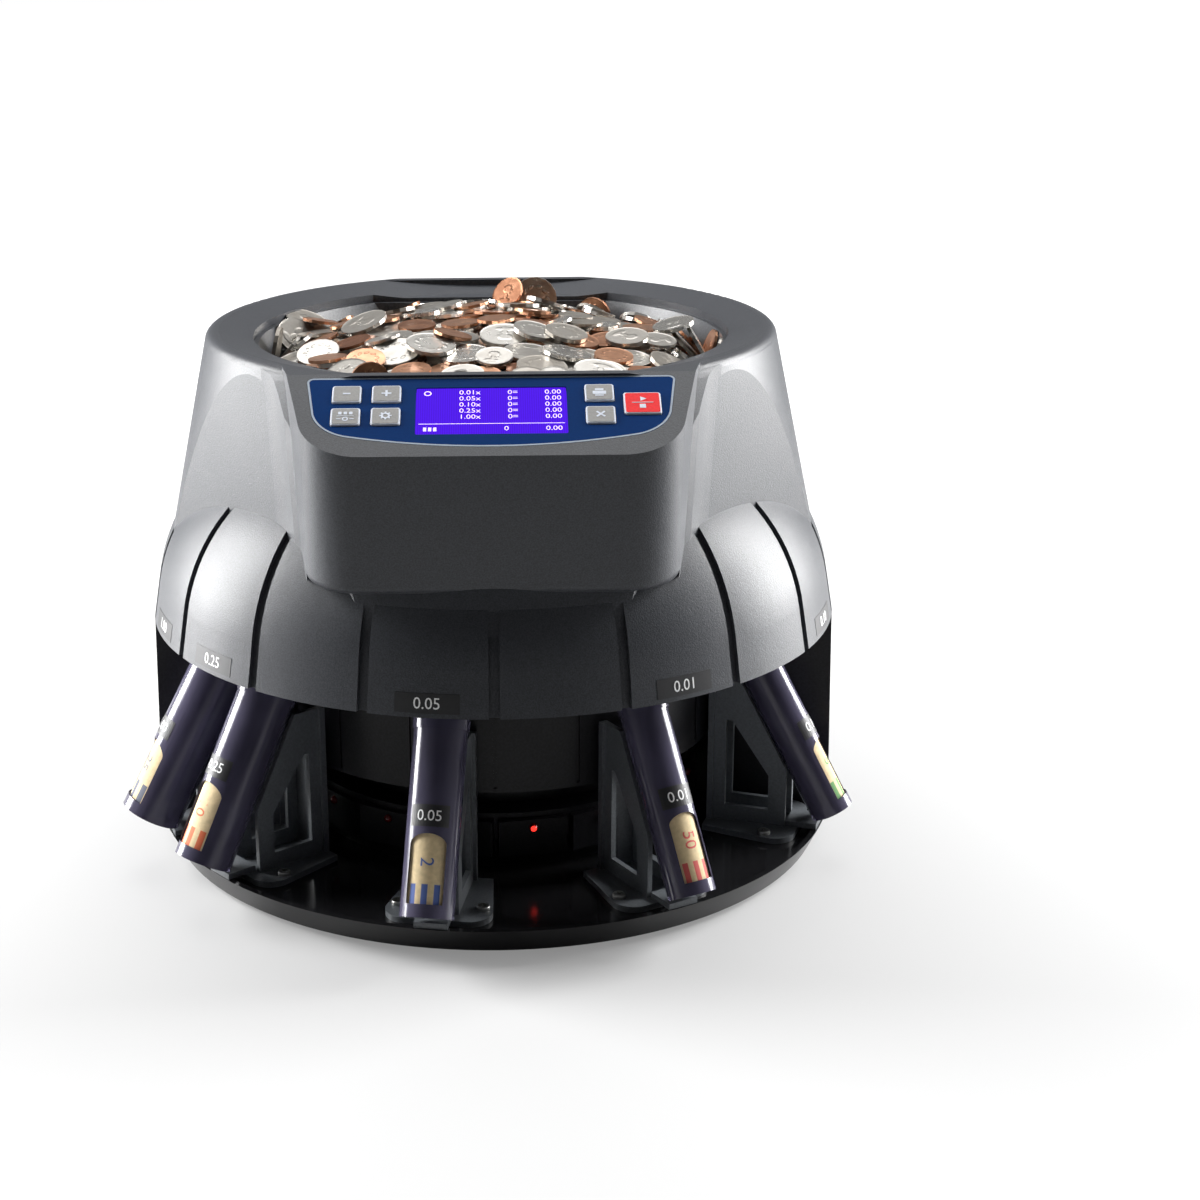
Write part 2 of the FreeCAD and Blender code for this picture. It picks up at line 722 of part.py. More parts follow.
def sorting_deck():
    plate = rod(deck_r, deck_z, deck_z + deck_t)
    plate = plate.common(block(-300, 300, -300, deck_back, 0, 300))
    plate = plate.fuse(rod(hub_r, deck_z - hub_drop, deck_z))
    bearing_z = deck_z + deck_t - 0.4 - bearing_w
    low, high = deck_z - 1, deck_z + deck_t + 1
    cuts = [rod(bearing_r + seat_gap, bearing_z, high), rod(spindle_r + 2, deck_z - 20, deck_z)]
    for name, az, d, t, n in coins:
        cuts.append(at_az(rod(d / 2 + coin_gap, low, high, 0, -aperture_r(d)), az))
    for az in boss_az:
        cuts.append(at_az(rod(hood_screw_r + 0.25, low, high, 0, -boss_ring), az))
    return plate.cut(cuts[0].fuse(cuts[1:]))


def track_rail():
    ring = pipe(rail_r + rail_w, rail_r, deck_z + deck_t, deck_z + deck_t + rail_h)
    lead_in = block(-38, 38, rail_r - 30, rail_r + 10, deck_z, deck_z + 20)
    return ring.cut(lead_in)


def chute_ring():
    top = deck_z
    plate = pipe(chute_ring_r, drum_top_r + 1.5, top - chute_plate, top)
    plate = plate.common(block(-300, 300, -300, deck_back, 0, 300))
    spouts = []
    holes = []
    for name, az, d, t, n in coins:
        end_z = tube_top_z(d) - 20
        lean = V(0, aperture_r(d) - tube_axis_r(d, tube_top_z(d)), end_z - top)
        start = V(0, -aperture_r(d), top)
        for radius, bucket in ((d / 2 + 1 + chute_wall, spouts), (d / 2 + 1, holes)):
            disc = Part.Face(Part.Wire(Part.makeCircle(radius, start)))
            bucket.append((disc.extrude(lean), az, d))
    body = []
    for spout, az, d in spouts:
        keep = block(-40, 40, -40, 60, 1.0, 90)
        keep.rotate(O, X, -tilt)
        keep.translate(V(0, -tube_axis_r(d, tube_top_z(d)), tube_top_z(d)))
        body.append(at_az(spout.common(keep), az))
    ring = plate.fuse(body)
    for hole, az, d in holes:
        ring = ring.cut(at_az(hole, az))
    return ring


def coin_sensors():
    sensors = []
    for name, az, d, t, n in coins:
        reach = aperture_r(d) + d / 2 + 1.5
        low, back = deck_z + deck_t, -rail_r - rail_w
        sensor = block(-6, 6, back - 5, back - 0.4, low, low + 9)
        arm = block(-3, 3, back - 5, -reach + 6, low + 7.0, low + 9)
        sensors.append(at_az(sensor.fuse(arm), az - 6))
    return Part.makeCompound(sensors)


# rotor and drive

def gear_face(teeth, module, lash):
    pitch = teeth * module / 2
    base = pitch * cos(20)
    tip = pitch + 0.9 * module
    root = pitch - 1.2 * module
    start = max(base, root)
    radii = [start, (start + pitch) / 2, pitch, (pitch + tip) / 2, tip]

    def involute(r):
        a = math.acos(min(1.0, base / r))
        return math.tan(a) - a

    half = math.pi / 2 / teeth - lash / 4 / pitch
    outline = []
    for i in range(teeth):
        middle = 2 * math.pi * i / teeth
        flank = [(r, half + involute(pitch) - involute(r)) for r in radii]
        flank = [(root, flank[0][1])] + flank
        rising = [(r, middle - a) for r, a in flank]
        falling = [(r, middle + a) for r, a in reversed(flank)]
        outline += [V(r * math.cos(a), r * math.sin(a), 0) for r, a in rising + falling]
    return Part.Face(Part.makePolygon(outline + outline[:1]))


def gear(teeth, bore, hub_r, z0, width):
    solid = gear_face(teeth, gear_module, backlash).extrude(V(0, 0, width))
    solid = moved(solid, 0, 0, z0).fuse(rod(hub_r, z0, z0 + width + 1.5))
    return solid.cut(rod(bore, z0 - 1, z0 + width + 5))


def drive_gear():
    solid = gear(gear_teeth, spindle_r + seat_gap, 12, gear_z, gear_w)
    holes = [at_az(rod(8, gear_z - 1, gear_z + gear_w + 1, 0, -27), 60 * i) for i in range(6)]
    return solid.cut(holes[0].fuse(holes[1:]))


def motor_pinion():
    return moved(gear(pinion_teeth, shaft_r + seat_gap, 7, gear_z, gear_w), 0, motor_y, 0)


def motor_shaft():
    return rod(shaft_r, bracket_z - 12, gear_z + gear_w, 0, motor_y)


def motor():
    can = rod(motor_r, motor_z, bracket_z - gearbox_h, 0, motor_y)
    rim = [e for e in can.Edges if e.BoundBox.ZMax < motor_z + 0.1]
    can = can.makeFillet(2.0, rim)
    gearbox = rod(motor_r + 2, bracket_z - gearbox_h, bracket_z, 0, motor_y)
    terminals = block(-8, 8, motor_y - 2, motor_y + 2, motor_z - 3, motor_z + 0.5)
    solid = can.fuse([gearbox, terminals])
    return solid.cut(rod(shaft_r + run_gap, bracket_z - 12.1, bracket_z + 1, 0, motor_y))


def motor_bracket():
    top = bracket_z + bracket_t
    plate = rod(26, bracket_z, top).fuse([rod(32, bracket_z, top, 0, motor_y),
                                          block(-20, 20, 0, motor_y, bracket_z, top)])
    pocket = rod(20, bracket_z - bearing_w, bracket_z)
    posts = []
    spots = [(-bracket_post_x, -30), (bracket_post_x, -30), (-36, motor_y + 30), (36, motor_y + 30)]
    for x, y in spots:
        posts.append(rod(4, bracket_z, deck_z, x, y))
        posts.append(strut(x, y, bracket_z, top))
    solid = plate.fuse(pocket).fuse(posts)
    # the posts stand clear of the gears
    solid = solid.cut(rod(gear_module * gear_teeth / 2 + 4, top, deck_z - 0.5))
    cuts = [rod(bearing_r + seat_gap, bracket_z - bearing_w - 1, bracket_z), rod(spindle_r + 2, 0, 300),
            rod(shaft_r + 1, 0, 300, 0, motor_y)]
    return solid.cut(cuts[0].fuse(cuts[1:]))


def strut(x, y, z0, z1):
    reach = math.hypot(x, y)
    bar = block(-5, 5, 0, reach, z0, z1)
    bar.rotate(O, Z, math.degrees(math.atan2(y, x)) - 90)
    return bar.fuse(rod(6, z0, z1, x, y))


def spindle():
    low = bracket_z - bearing_w
    shaft = rod(spindle_r, low, disc_z + disc_t + 3)
    # a shoulder under the upper bearing, inside the deck's hub
    shoulder_z = deck_z + deck_t - bearing_w - 0.6
    return shaft.fuse(rod(spindle_r + 1.6, deck_z - hub_drop + 0.4, shoulder_z))


def bearing(z0):
    ring = pipe(bearing_r, spindle_r + run_gap, z0, z0 + bearing_w)
    groove = pipe(bearing_r - 2.2, spindle_r + 2.2, z0 + bearing_w - 0.6, z0 + bearing_w + 1)
    return ring.cut(groove)


def pusher_wheel():
    web = rod(wheel_r, wheel_z, wheel_z + wheel_t)
    hub = rod(14, wheel_z - 1.5, wheel_z + wheel_t + 1)
    wheel = web.fuse(hub)
    cuts = [rod(spindle_r + seat_gap, 0, 300)]
    for i in range(8):
        cuts.append(at_az(rod(17, wheel_z - 1, wheel_z + wheel_t + 2, 0, -72), 45 * i))
    for i in range(24):
        slit = block(-0.8, 0.8, -wheel_r - 1, -wheel_r + 14, wheel_z - 1, wheel_z + wheel_t + 1)
        cuts.append(at_az(slit, 15 * i + 7.5))
    return wheel.cut(cuts[0].fuse(cuts[1:]))


def feed_disc():
    disc = rod(disc_r, disc_z, disc_z + disc_t)
    parts = []
    for i in range(3):
        peg = Part.makeSphere(7, V(0, -54, disc_z + disc_t - 3))
        parts.append(at_az(peg.common(rod(20, disc_z + 1, 300, 0, -54)), 120 * i + 20))
    disc = disc.fuse(parts)
    return disc.cut(rod(spindle_r + seat_gap, 0, 300))


def disc_cap():
    top = disc_z + disc_t
    cap = lathe([(0, top), (22, top), (20, top + 4), (14, top + 8), (6, top + 10), (0, top + 10)])
    return cap.cut(rod(spindle_r + seat_gap, top - 1, top + 3.1))


# tubes

def along_tube(shape, d):
    # a shape standing on the origin, laid along the tube's axis at the front
    shape.rotate(O, X, -tilt)
    shape.translate(V(0, -tube_axis_r(d, tube_low(d)), tube_low(d)))
    return shape


def tube_length(d):
    return (tube_top_z(d) - tube_low(d)) / cos(tilt)


def window_cutter(r):
    half = r * sin(window_half)
    straight = block(-half, half, -r * 2, 0, window_low, window_high - half * 0.6)
    head = Part.makeCylinder(half, 2 * r, V(0, 0, window_high - half * 0.6), V(0, -1, 0))
    squash = FreeCAD.Matrix()
    squash.A33 = 0.6
    squash.A34 = (window_high - half * 0.6) * 0.4
    return straight.fuse(head.transformGeometry(squash))


def coin_tube(d):
    r = tube_r(d)
    length = tube_length(d)
    body = rod(r, 0, length).fuse(rod(r + collar, length - collar_len, length))
    body = body.cut(rod(r - tube_wall, tube_floor, length + 1))
    body = body.cut(window_cutter(r))
    return along_tube(body, d)


def wrapper(d, thick, count):
    r = d / 2 + roll_gap + paper
    low = tube_floor + 0.1
    return along_tube(pipe(r, r - paper, low, low + count * thick + roll_crimp), d)


# stands

def cradle_line(d, spread, z):
    # where a plate at this spread meets the tube, less the gap
    r = tube_r(d)
    fall = r - math.sqrt(r * r - spread * spread)
    return cradle_r + (cradle_z - z) * tan(tilt) + (fall - cradle_gap) / cos(tilt)


def stand(d):
    foot_top = floor_z + foot_plate_t
    spread = stand_spread * tube_r(d)
    inner_face = spread - stand_plate / 2
    bend_z = cradle_z - (stand_out_r - cradle_line(d, inner_face, cradle_z)) / tan(tilt)
    outline = [(stand_in_r, foot_top - 1), (stand_in_r, stand_z),
               (cradle_line(d, inner_face, stand_z), stand_z),
               (stand_out_r, bend_z), (stand_out_r, foot_top - 1)]
    low = foot_top + 8
    hole_in = stand_in_r + 9
    hole_out = stand_out_r - 9
    high_z = stand_z - 22
    hole = [(hole_in, low), (hole_in, high_z), (hole_in + 3, high_z),
            (hole_out, bend_z - 4), (hole_out, low)]
    parts = []
    for side in (-1, 1):
        x0 = side * spread - stand_plate / 2
        plate = side_plate(outline, x0, x0 + stand_plate)
        parts.append(plate.cut(side_plate(hole, x0 - 1, x0 + stand_plate + 1)))
        rib = 1.8
        lip_x = sorted((side * spread, side * (spread + stand_plate / 2 + rib)))
        parts.append(block(lip_x[0], lip_x[1], -stand_in_r - 3, -stand_in_r, foot_top - 1, stand_z))
    parts.append(block(-spread, spread, -stand_in_r - 3, -stand_in_r, foot_top - 1, stand_z - 18))
    half_in = stand_in_r * tan(foot_plate_az)
    half_out = foot_plate_r * tan(foot_plate_az)
    foot = prism([(-half_in, -stand_in_r), (-half_out, -foot_plate_r), (half_out, -foot_plate_r),
                  (half_in, -stand_in_r)], floor_z, foot_top)
    round_edges = [e for e in foot.Edges if abs(e.tangentAt(e.FirstParameter).z) > 0.9]
    round_edges = [e for e in round_edges if e.CenterOfMass.y < -stand_out_r]
    foot = foot.makeFillet(foot_corner, round_edges)
    tongue = block(-tongue_half, tongue_half, -tongue_r, -foot_plate_r + 6, foot_top, tube_low_z - 0.4)
    heel = block(-tongue_half, tongue_half, -foot_plate_r + 1, -foot_plate_r + 6,
                 floor_z + 1, foot_top + 1)
    solid = foot.fuse(parts + [tongue, heel])
    tube = along_tube(rod(tube_r(d) + cradle_gap, -30, 150), d)
    tube = tube.common(block(-60, 60, -400, 0, foot_top + 4, 200))
    solid = solid.cut(tube)
    holes = [rod(stand_screw_r, 0, 60, side * stand_screw_at[1], -stand_screw_at[0])
             for side in (-1, 1)]
    return solid.cut(holes[0].fuse(holes[1:]))


def stand_screws():
    foot_top = floor_z + foot_plate_t
    screws = []
    for name, az, d, t, n in coins:
        for side in (-1, 1):
            x, y = side * stand_screw_at[1], -stand_screw_at[0]
            head = rod(3.2, foot_top, foot_top + 2, x, y)
            head = head.makeFillet(0.8, [e for e in head.Edges if e.BoundBox.ZMin > foot_top + 1.9])
            shank = rod(stand_screw_r - 0.25, foot_h + 3, foot_top, x, y)
            cross = block(x - 1.8, x + 1.8, y - 0.4, y + 0.4, foot_top + 1, foot_top + 3)
            cross = cross.fuse(block(x - 0.4, x + 0.4, y - 1.8, y + 1.8, foot_top + 1, foot_top + 3))
            screws.append(at_az(head.fuse(shank).cut(cross), az))
    return Part.makeCompound(screws)


# rear housing

def rear_block(inset, z0, z1):
    slope = (rear_foot_r - hood_r) / (hood_z - tray_rim_z)

    def r(z):
        return rear_foot_r - slope * (z - tray_rim_z) - inset

    cone = lathe([(0, z0), (r(z0), z0), (r(z1), z1), (0, z1)])
    return cone.common(block(-300, 300, -300, back_y - inset, z0 - 1, z1 + 1))


def rear_housing():
    low = tray_rim_z + rear_gap / 2
    high = hood_z - rear_gap
    far = 400
    shell = rear_block(0, low, high).cut(rear_block(wall, low - 1, high + 1))
    front = prism([(0, 0), (far * sin(-rear_az), -far * cos(rear_az)), (-far, -far), (far, -far),
                   (far * sin(rear_az), -far * cos(rear_az))], 0, 200)
    shell = shell.cut(front)
    ends = []
    for side in (-1, 1):
        x0, x1 = sorted((0, side * wall))
        plate = block(x0, x1, -rear_foot_r, -drum_r - 1.5, low, high)
        plate = plate.fuse(block(x0, x1, 4 - tray_r, -drum_r - 1.5, floor_z + 0.1, low))
        ends.append(at_az(plate, side * rear_az).common(rear_block(1, floor_z, high)))
    shell = shell.fuse(ends)
    cuts = []
    for x, z, w, h in (inlet, switch, port):
        cuts.append(block(x - w / 2, x + w / 2, back_y - 10, back_y + 5, z - h / 2, z + h / 2))
    for row in (1, 2):
        for i in range(9):
            x = -24 + 6 * i
            top = hood_z + 7.5 - 22 * row
            cuts.append(block(x - 1.3, x + 1.3, back_y - 10, back_y + 5, top - 16, top))
    for side in (-1, 1):
        for i in range(7):
            slot = block(-1.3, 1.3, -rear_foot_r - 5, -rear_foot_r + 12, hood_z - 58.5, hood_z - 24.5)
            cuts.append(at_az(slot, side * (100 + 2.6 * i)))
    return shell.cut(cuts[0].fuse(cuts[1:]))


def mains_inlet():
    x, z, w, h = inlet
    g = socket_gap
    body = block(x - w / 2 + g, x + w / 2 - g, back_y - 22, back_y + 0.1, z - h / 2 + g, z + h / 2 - g)
    flange = block(x - w / 2 - 2, x + w / 2 + 2, back_y + 0.1, back_y + 2.6,
                   z - h / 2 - 2, z + h / 2 + 2)
    solid = body.fuse(flange)
    well = block(x - w / 2 + 2.2, x + w / 2 - 2.2, back_y - 15, back_y + 5,
                 z - h / 2 + 2.2, z + h / 2 - 2.2)
    solid = solid.cut(well)
    pins = []
    for dx, dz in ((-7, -1.5), (7, -1.5), (0, 2.5)):
        pins.append(block(x + dx - 1, x + dx + 1, back_y - 17, back_y - 3, z + dz - 2, z + dz + 2))
    return solid.fuse(pins)


def switch_body():
    x, z, w, h = switch
    g = socket_gap
    body = block(x - w / 2 + g, x + w / 2 - g, back_y - 18, back_y + 0.1, z - h / 2 + g, z + h / 2 - g)
    flange = block(x - w / 2 - 1.6, x + w / 2 + 1.6, back_y + 0.1, back_y + 2.0,
                   z - h / 2 - 1.6, z + h / 2 + 1.6)
    solid = body.fuse(flange)
    well = block(x - w / 2 + 2.0, x + w / 2 - 2.0, back_y - 9, back_y + 5,
                 z - h / 2 + 1.6, z + h / 2 - 1.6)
    pivot = rod(rocker_pin_r + run_gap, z - h / 2 + 0.5, z + h / 2 - 0.5, x, back_y - rocker_pivot)
    return solid.cut(well).cut(pivot)


def rocker():
    x, z, w, h = switch
    half = w / 2 - 2.0 - rocker_gap - 0.7
    depth = h / 2 - 1.6 - rocker_gap
    outline = [(-half, 3.6), (0, 1.4), (half, 3.6), (half, 0.5), (4, -5.4), (-4, -5.4), (-half, 0.5)]
    solid = prism(outline, -depth, depth)
    pin_half = h / 2 - 0.7
    solid = solid.fuse(rod(rocker_pin_r, -pin_half, pin_half, 0, -rocker_pivot))
    solid.rotate(V(0, -rocker_pivot, 0), Z, rocker_throw / 2)
    return moved(solid, x, back_y, z)


def printer_port():
    x, z, w, h = port
    g = socket_gap
    body = block(x - w / 2 + g, x + w / 2 - g, back_y - 12, back_y + 0.1, z - h / 2 + g, z + h / 2 - g)
    flange = block(x - w / 2 - 2, x + w / 2 + 2, back_y + 0.1, back_y + 1.2,
                   z - h / 2 - 2, z + h / 2 + 2)
    nose = block(x - 8.4, x + 8.4, back_y + 1, back_y + 6.5, z - 4.6, z + 4.6)
    solid = body.fuse([flange, nose])
    well = block(x - 7.6, x + 7.6, back_y - 5, back_y + 9, z - 3.8, z + 3.8)
    solid = solid.cut(well)
    pins = []
    for row, count in ((-1.4, 4), (1.4, 5)):
        for i in range(count):
            px = x + (i - (count - 1) / 2) * 2.77
            pins.append(Part.makeCylinder(0.5, 8, V(px, back_y - 6, z + row), V(0, 1, 0)))
    return solid.fuse(pins)


def power_supply():
    y0 = drum_r + 3
    y1 = back_y - 10
    box = block(-40, 34, y0, y1, *supply_z)
    feet = [block(x, x + 10, y0 + 4, y1 - 4, floor_z, supply_z[0]) for x in (-38, 22)]
    return box.fuse(feet)


def main_board():
    low, high = board_z
    board = block(-45, 45, -0.8, 0.8, low, high)
    chips = [block(-30, -14, -3.4, -0.8, low + 40, low + 56),
             block(4, 30, -5.8, -0.8, low + 18, low + 28),
             block(-6, 2, -4.8, -0.8, high - 18, high - 6)]
    feet = [block(x, x + 10, -5, 5, floor_z, low + 1) for x in (-44, 34)]
    solid = board.fuse(chips + feet)
    return at_az(moved(solid, 0, 31 - hood_r, 0), 225)


# the whole machine

def build():
    nodes = {
        "base_tray": tray(), "rubber_feet": rubber_feet(), "base_screws": base_screws(),
        "pedestal": pedestal(), "sensor_leds": sensor_leds(), "drive_drum": drum(),
        "sorting_deck": sorting_deck(), "track_rail": track_rail(), "chute_ring": chute_ring(),
        "coin_sensors": coin_sensors(), "hood": hood(), "hood_screws": hood_screws(),
        "hopper_bowl": bowl(), "gate_bracket": gate_bracket().fuse(gate_pin()),
        "gate_roller": gate_roller(),
        "panel_overlay": panel_overlay(), "lcd_module": lcd_module(), "key_board": key_board(),
        "spindle": spindle(), "drive_gear": drive_gear(), "pusher_wheel": pusher_wheel(),
        "feed_disc": feed_disc(), "disc_cap": disc_cap(),
        "upper_bearing": bearing(deck_z + deck_t - 0.4 - bearing_w),
        "lower_bearing": bearing(bracket_z - bearing_w),
        "motor": motor(), "motor_shaft": motor_shaft(), "motor_pinion": motor_pinion(),
        "motor_bracket": motor_bracket(), "rear_housing": rear_housing(), "mains_inlet": mains_inlet(),
        "switch_body": switch_body(), "power_rocker": rocker(), "printer_port": printer_port(),
        "power_supply": power_supply(), "main_board": main_board(), "stand_screws": stand_screws(),
    }
    for name, x, s, w, h in keys:
        nodes[name] = key(x, s, w, h)
    for name, az, d, t, n in coins:
        nodes["tube_" + name] = at_az(coin_tube(d), az)
        nodes["wrapper_" + name] = at_az(wrapper(d, t, n), az)
        nodes["stand_" + name] = at_az(stand(d), az)
    return nodes


nodes = build()
whole = Part.makeCompound(list(nodes.values())).optimalBoundingBox(False, False)
shift = V(-whole.Center.x, -whole.Center.y, -whole.ZMin)
os.makedirs("parts", exist_ok=True)
for name, shape in nodes.items():
    shape.translate(shift)
    shape.exportStep("parts/" + name + ".step")
size = [round(v, 1) for v in (whole.XLength, whole.YLength, whole.ZLength)]
print(len(nodes), "nodes", "size", *size)
print("shift", shift)
for name, shape in nodes.items():
    if not shape.isValid():
        print("not valid:", name)
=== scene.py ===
import bpy
import bmesh
import json
import math
import random
from mathutils import Matrix, Vector


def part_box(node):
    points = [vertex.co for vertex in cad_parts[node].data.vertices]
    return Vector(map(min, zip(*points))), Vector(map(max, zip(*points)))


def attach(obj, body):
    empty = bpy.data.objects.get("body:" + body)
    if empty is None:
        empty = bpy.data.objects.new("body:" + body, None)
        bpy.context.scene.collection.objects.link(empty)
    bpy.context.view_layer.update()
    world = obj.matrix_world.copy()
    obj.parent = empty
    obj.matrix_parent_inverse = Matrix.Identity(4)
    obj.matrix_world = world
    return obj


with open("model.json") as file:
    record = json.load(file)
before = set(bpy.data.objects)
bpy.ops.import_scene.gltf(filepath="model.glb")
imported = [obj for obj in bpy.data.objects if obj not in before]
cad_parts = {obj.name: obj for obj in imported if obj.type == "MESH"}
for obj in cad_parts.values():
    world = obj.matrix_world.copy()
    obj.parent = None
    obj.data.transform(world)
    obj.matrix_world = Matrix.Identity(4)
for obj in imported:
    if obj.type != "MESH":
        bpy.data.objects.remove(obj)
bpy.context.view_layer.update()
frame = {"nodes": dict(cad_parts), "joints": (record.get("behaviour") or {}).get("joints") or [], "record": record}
nodes = frame["nodes"]
print("frame loaded:", len(nodes), "nodes")

# the spindle's axis is where everything round is centred
joints = {j["name"]: j for j in frame["joints"]}
axis = Vector(joints["rotor_spin"]["pos_m"])
axis.z = 0
mm = 0.001
coinNames = ["dollar", "quarter", "nickel", "penny", "dime"]


def azimuthOf(name):
    pull = Vector(joints["tube_" + name + "_pull"]["axis"])
    return math.atan2(pull.x, -pull.y)


def place(radius, azimuth, height):
    # a point given by its distance from the spindle, its angle from the front and its height
    return axis + Vector((radius * math.sin(azimuth), -radius * math.cos(azimuth), height))


view = {"distance": 1.1227, "raise": 18.26, "aimHeight": 0.12, "roll": -0.57, "lens": 64.4, "sensor": 36,
        "shiftX": 0.0889, "shiftY": -0.0019, "near": 0.05, "far": 50}


def makeCamera():
    data = bpy.data.cameras.new("camera")
    data.lens = view["lens"]
    data.sensor_width = view["sensor"]
    data.shift_x = view["shiftX"]
    data.shift_y = view["shiftY"]
    data.clip_start = view["near"]
    data.clip_end = view["far"]
    cam = bpy.data.objects.new("camera", data)
    bpy.context.scene.collection.objects.link(cam)
    up = math.radians(view["raise"])
    aim = axis + Vector((0, 0, view["aimHeight"]))
    spot = aim + view["distance"] * Vector((0, -math.cos(up), math.sin(up)))
    turn = (aim - spot).to_track_quat("-Z", "Y").to_matrix().to_4x4()
    roll = Matrix.Rotation(math.radians(view["roll"]), 4, "Z")
    cam.matrix_world = Matrix.Translation(spot) @ turn @ roll
    bpy.context.scene.camera = cam


lamps = [  # name, place, aim, width, height, watts
    ("sideLeft", (-1.2, 0.3, 0.45), (0, 0.1, 0.17), 0.6, 1.2, 60),
    ("sideRight", (1.2, 0.35, 0.45), (0, 0.1, 0.17), 0.6, 1.2, 54),
    ("overhead", (0.0, 0.6, 1.4), (0, 0, 0.2), 1.4, 0.8, 10),
]
studio = {"front": 0.0, "around": 0.22, "frontEdge": (-0.95, -0.25),
          "floorSize": 7, "floorTone": 0.42, "floorRough": 0.6,
          "floorGlow": (0.24, 0.93), "floorFade": (0.4, 1.25)}


def makeLights():
    for name, spot, aim, width, height, watts in lamps:
        data = bpy.data.lights.new(name, "AREA")
        data.shape = "RECTANGLE"
        data.size = width
        data.size_y = height
        data.energy = watts
        lamp = bpy.data.objects.new(name, data)
        bpy.context.scene.collection.objects.link(lamp)
        lamp.location = axis + Vector(spot)
        lamp.rotation_euler = (Vector(aim) - Vector(spot)).to_track_quat("-Z", "Y").to_euler()
    world = bpy.data.worlds.new("studio")
    bpy.context.scene.world = world
    world.use_nodes = True
    tree = world.node_tree
    back = tree.nodes["Background"]
    # white all round, with a darker wall in front of the machine
    coords = tree.nodes.new("ShaderNodeTexCoord")
    split = tree.nodes.new("ShaderNodeSeparateXYZ")
    tree.links.new(coords.outputs["Generated"], split.inputs["Vector"])
    wall = addSmooth(tree, split.outputs["Y"], *studio["frontEdge"], studio["front"], studio["around"])
    # the camera itself sees plain white
    seen = tree.nodes.new("ShaderNodeLightPath").outputs["Is Camera Ray"]
    tree.links.new(addMath(tree, "MAXIMUM", seen, wall), back.inputs["Strength"])
    back.inputs["Color"].default_value = (1, 1, 1, 1)
    bpy.context.scene.view_settings.view_transform = "Standard"


def makeFloor():
    bm = bmesh.new()
    bmesh.ops.create_grid(bm, x_segments=1, y_segments=1, size=studio["floorSize"])
    bmesh.ops.translate(bm, verts=bm.verts, vec=(0, 2, 0))
    mesh = bpy.data.meshes.new("floor")
    bm.to_mesh(mesh)
    bm.free()
    floor = bpy.data.objects.new("floor", mesh)
    bpy.context.scene.collection.objects.link(floor)
    mat = bpy.data.materials.new("floorWhite")
    mat.use_nodes = True
    shader = mat.node_tree.nodes["Principled BSDF"]
    tone = studio["floorTone"]
    shader.inputs["Base Color"].default_value = (tone, tone, tone, 1)
    shader.inputs["Roughness"].default_value = studio["floorRough"]
    shader.inputs["Emission Color"].default_value = (1, 1, 1, 1)
    # a glow that whitens the far floor for the camera and throws no light on the machine
    tree = mat.node_tree
    away = tree.nodes.new("ShaderNodeVectorMath")
    away.operation = "LENGTH"
    tree.links.new(tree.nodes.new("ShaderNodeTexCoord").outputs["Object"], away.inputs[0])
    glowing = addSmooth(tree, away.outputs["Value"], *studio["floorFade"], *studio["floorGlow"])
    seen = tree.nodes.new("ShaderNodeLightPath").outputs["Is Camera Ray"]
    tree.links.new(addMath(tree, "MULTIPLY", seen, glowing), shader.inputs["Emission Strength"])
    mesh.materials.append(mat)


def newMaterial(name):
    mat = bpy.data.materials.new(name)
    mat.use_nodes = True
    tree = mat.node_tree
    shader = tree.nodes["Principled BSDF"]
    coords = tree.nodes.new("ShaderNodeTexCoord")
    return mat, tree, shader, coords.outputs["Object"]


def addNoise(tree, coords, scale, detail=2.0, rough=0.5):
    noise = tree.nodes.new("ShaderNodeTexNoise")
    noise.inputs["Scale"].default_value = scale
    noise.inputs["Detail"].default_value = detail
    noise.inputs["Roughness"].default_value = rough
    tree.links.new(coords, noise.inputs["Vector"])
    return noise.outputs["Fac"]


def addRamp(tree, fac, stops):
    ramp = tree.nodes.new("ShaderNodeValToRGB")
    while len(ramp.color_ramp.elements) < len(stops):
        ramp.color_ramp.elements.new(0.5)
    for element, (pos, color) in zip(ramp.color_ramp.elements, stops):
        element.position = pos
        element.color = (*color, 1)
    tree.links.new(fac, ramp.inputs["Fac"])
    return ramp.outputs["Color"]


def addRange(tree, fac, low, high):
    spread = tree.nodes.new("ShaderNodeMapRange")
    spread.inputs["To Min"].default_value = low
    spread.inputs["To Max"].default_value = high
    tree.links.new(fac, spread.inputs["Value"])
    return spread.outputs["Result"]


def addBump(tree, shader, height, distance, strength):
    bump = tree.nodes.new("ShaderNodeBump")
    bump.inputs["Distance"].default_value = distance
    bump.inputs["Strength"].default_value = strength
    tree.links.new(height, bump.inputs["Height"])
    tree.links.new(bump.outputs["Normal"], shader.inputs["Normal"])


def shade(color, k):
    return tuple(min(1.0, c * k) for c in color)


def mouldedPlastic(name, color, rough, grain=900, depth=0.00012, contrast=0.25, spec=0.5):
    mat, tree, shader, coords = newMaterial(name)
    fine = addNoise(tree, coords, grain, 3)
    broad = addNoise(tree, coords, 14, 2)
    tint = addRamp(tree, fine, [(0.35, shade(color, 1 - contrast)), (0.65, shade(color, 1 + contrast))])
    tree.links.new(tint, shader.inputs["Base Color"])
    tree.links.new(addRange(tree, broad, rough - 0.05, rough + 0.06), shader.inputs["Roughness"])
    shader.inputs["Specular IOR Level"].default_value = spec
    addBump(tree, shader, fine, depth, 0.6)
    return mat


def setMaterial(names, mat):
    for name in names:
        obj = nodes[name]
        for slot in obj.material_slots:
            slot.material = mat


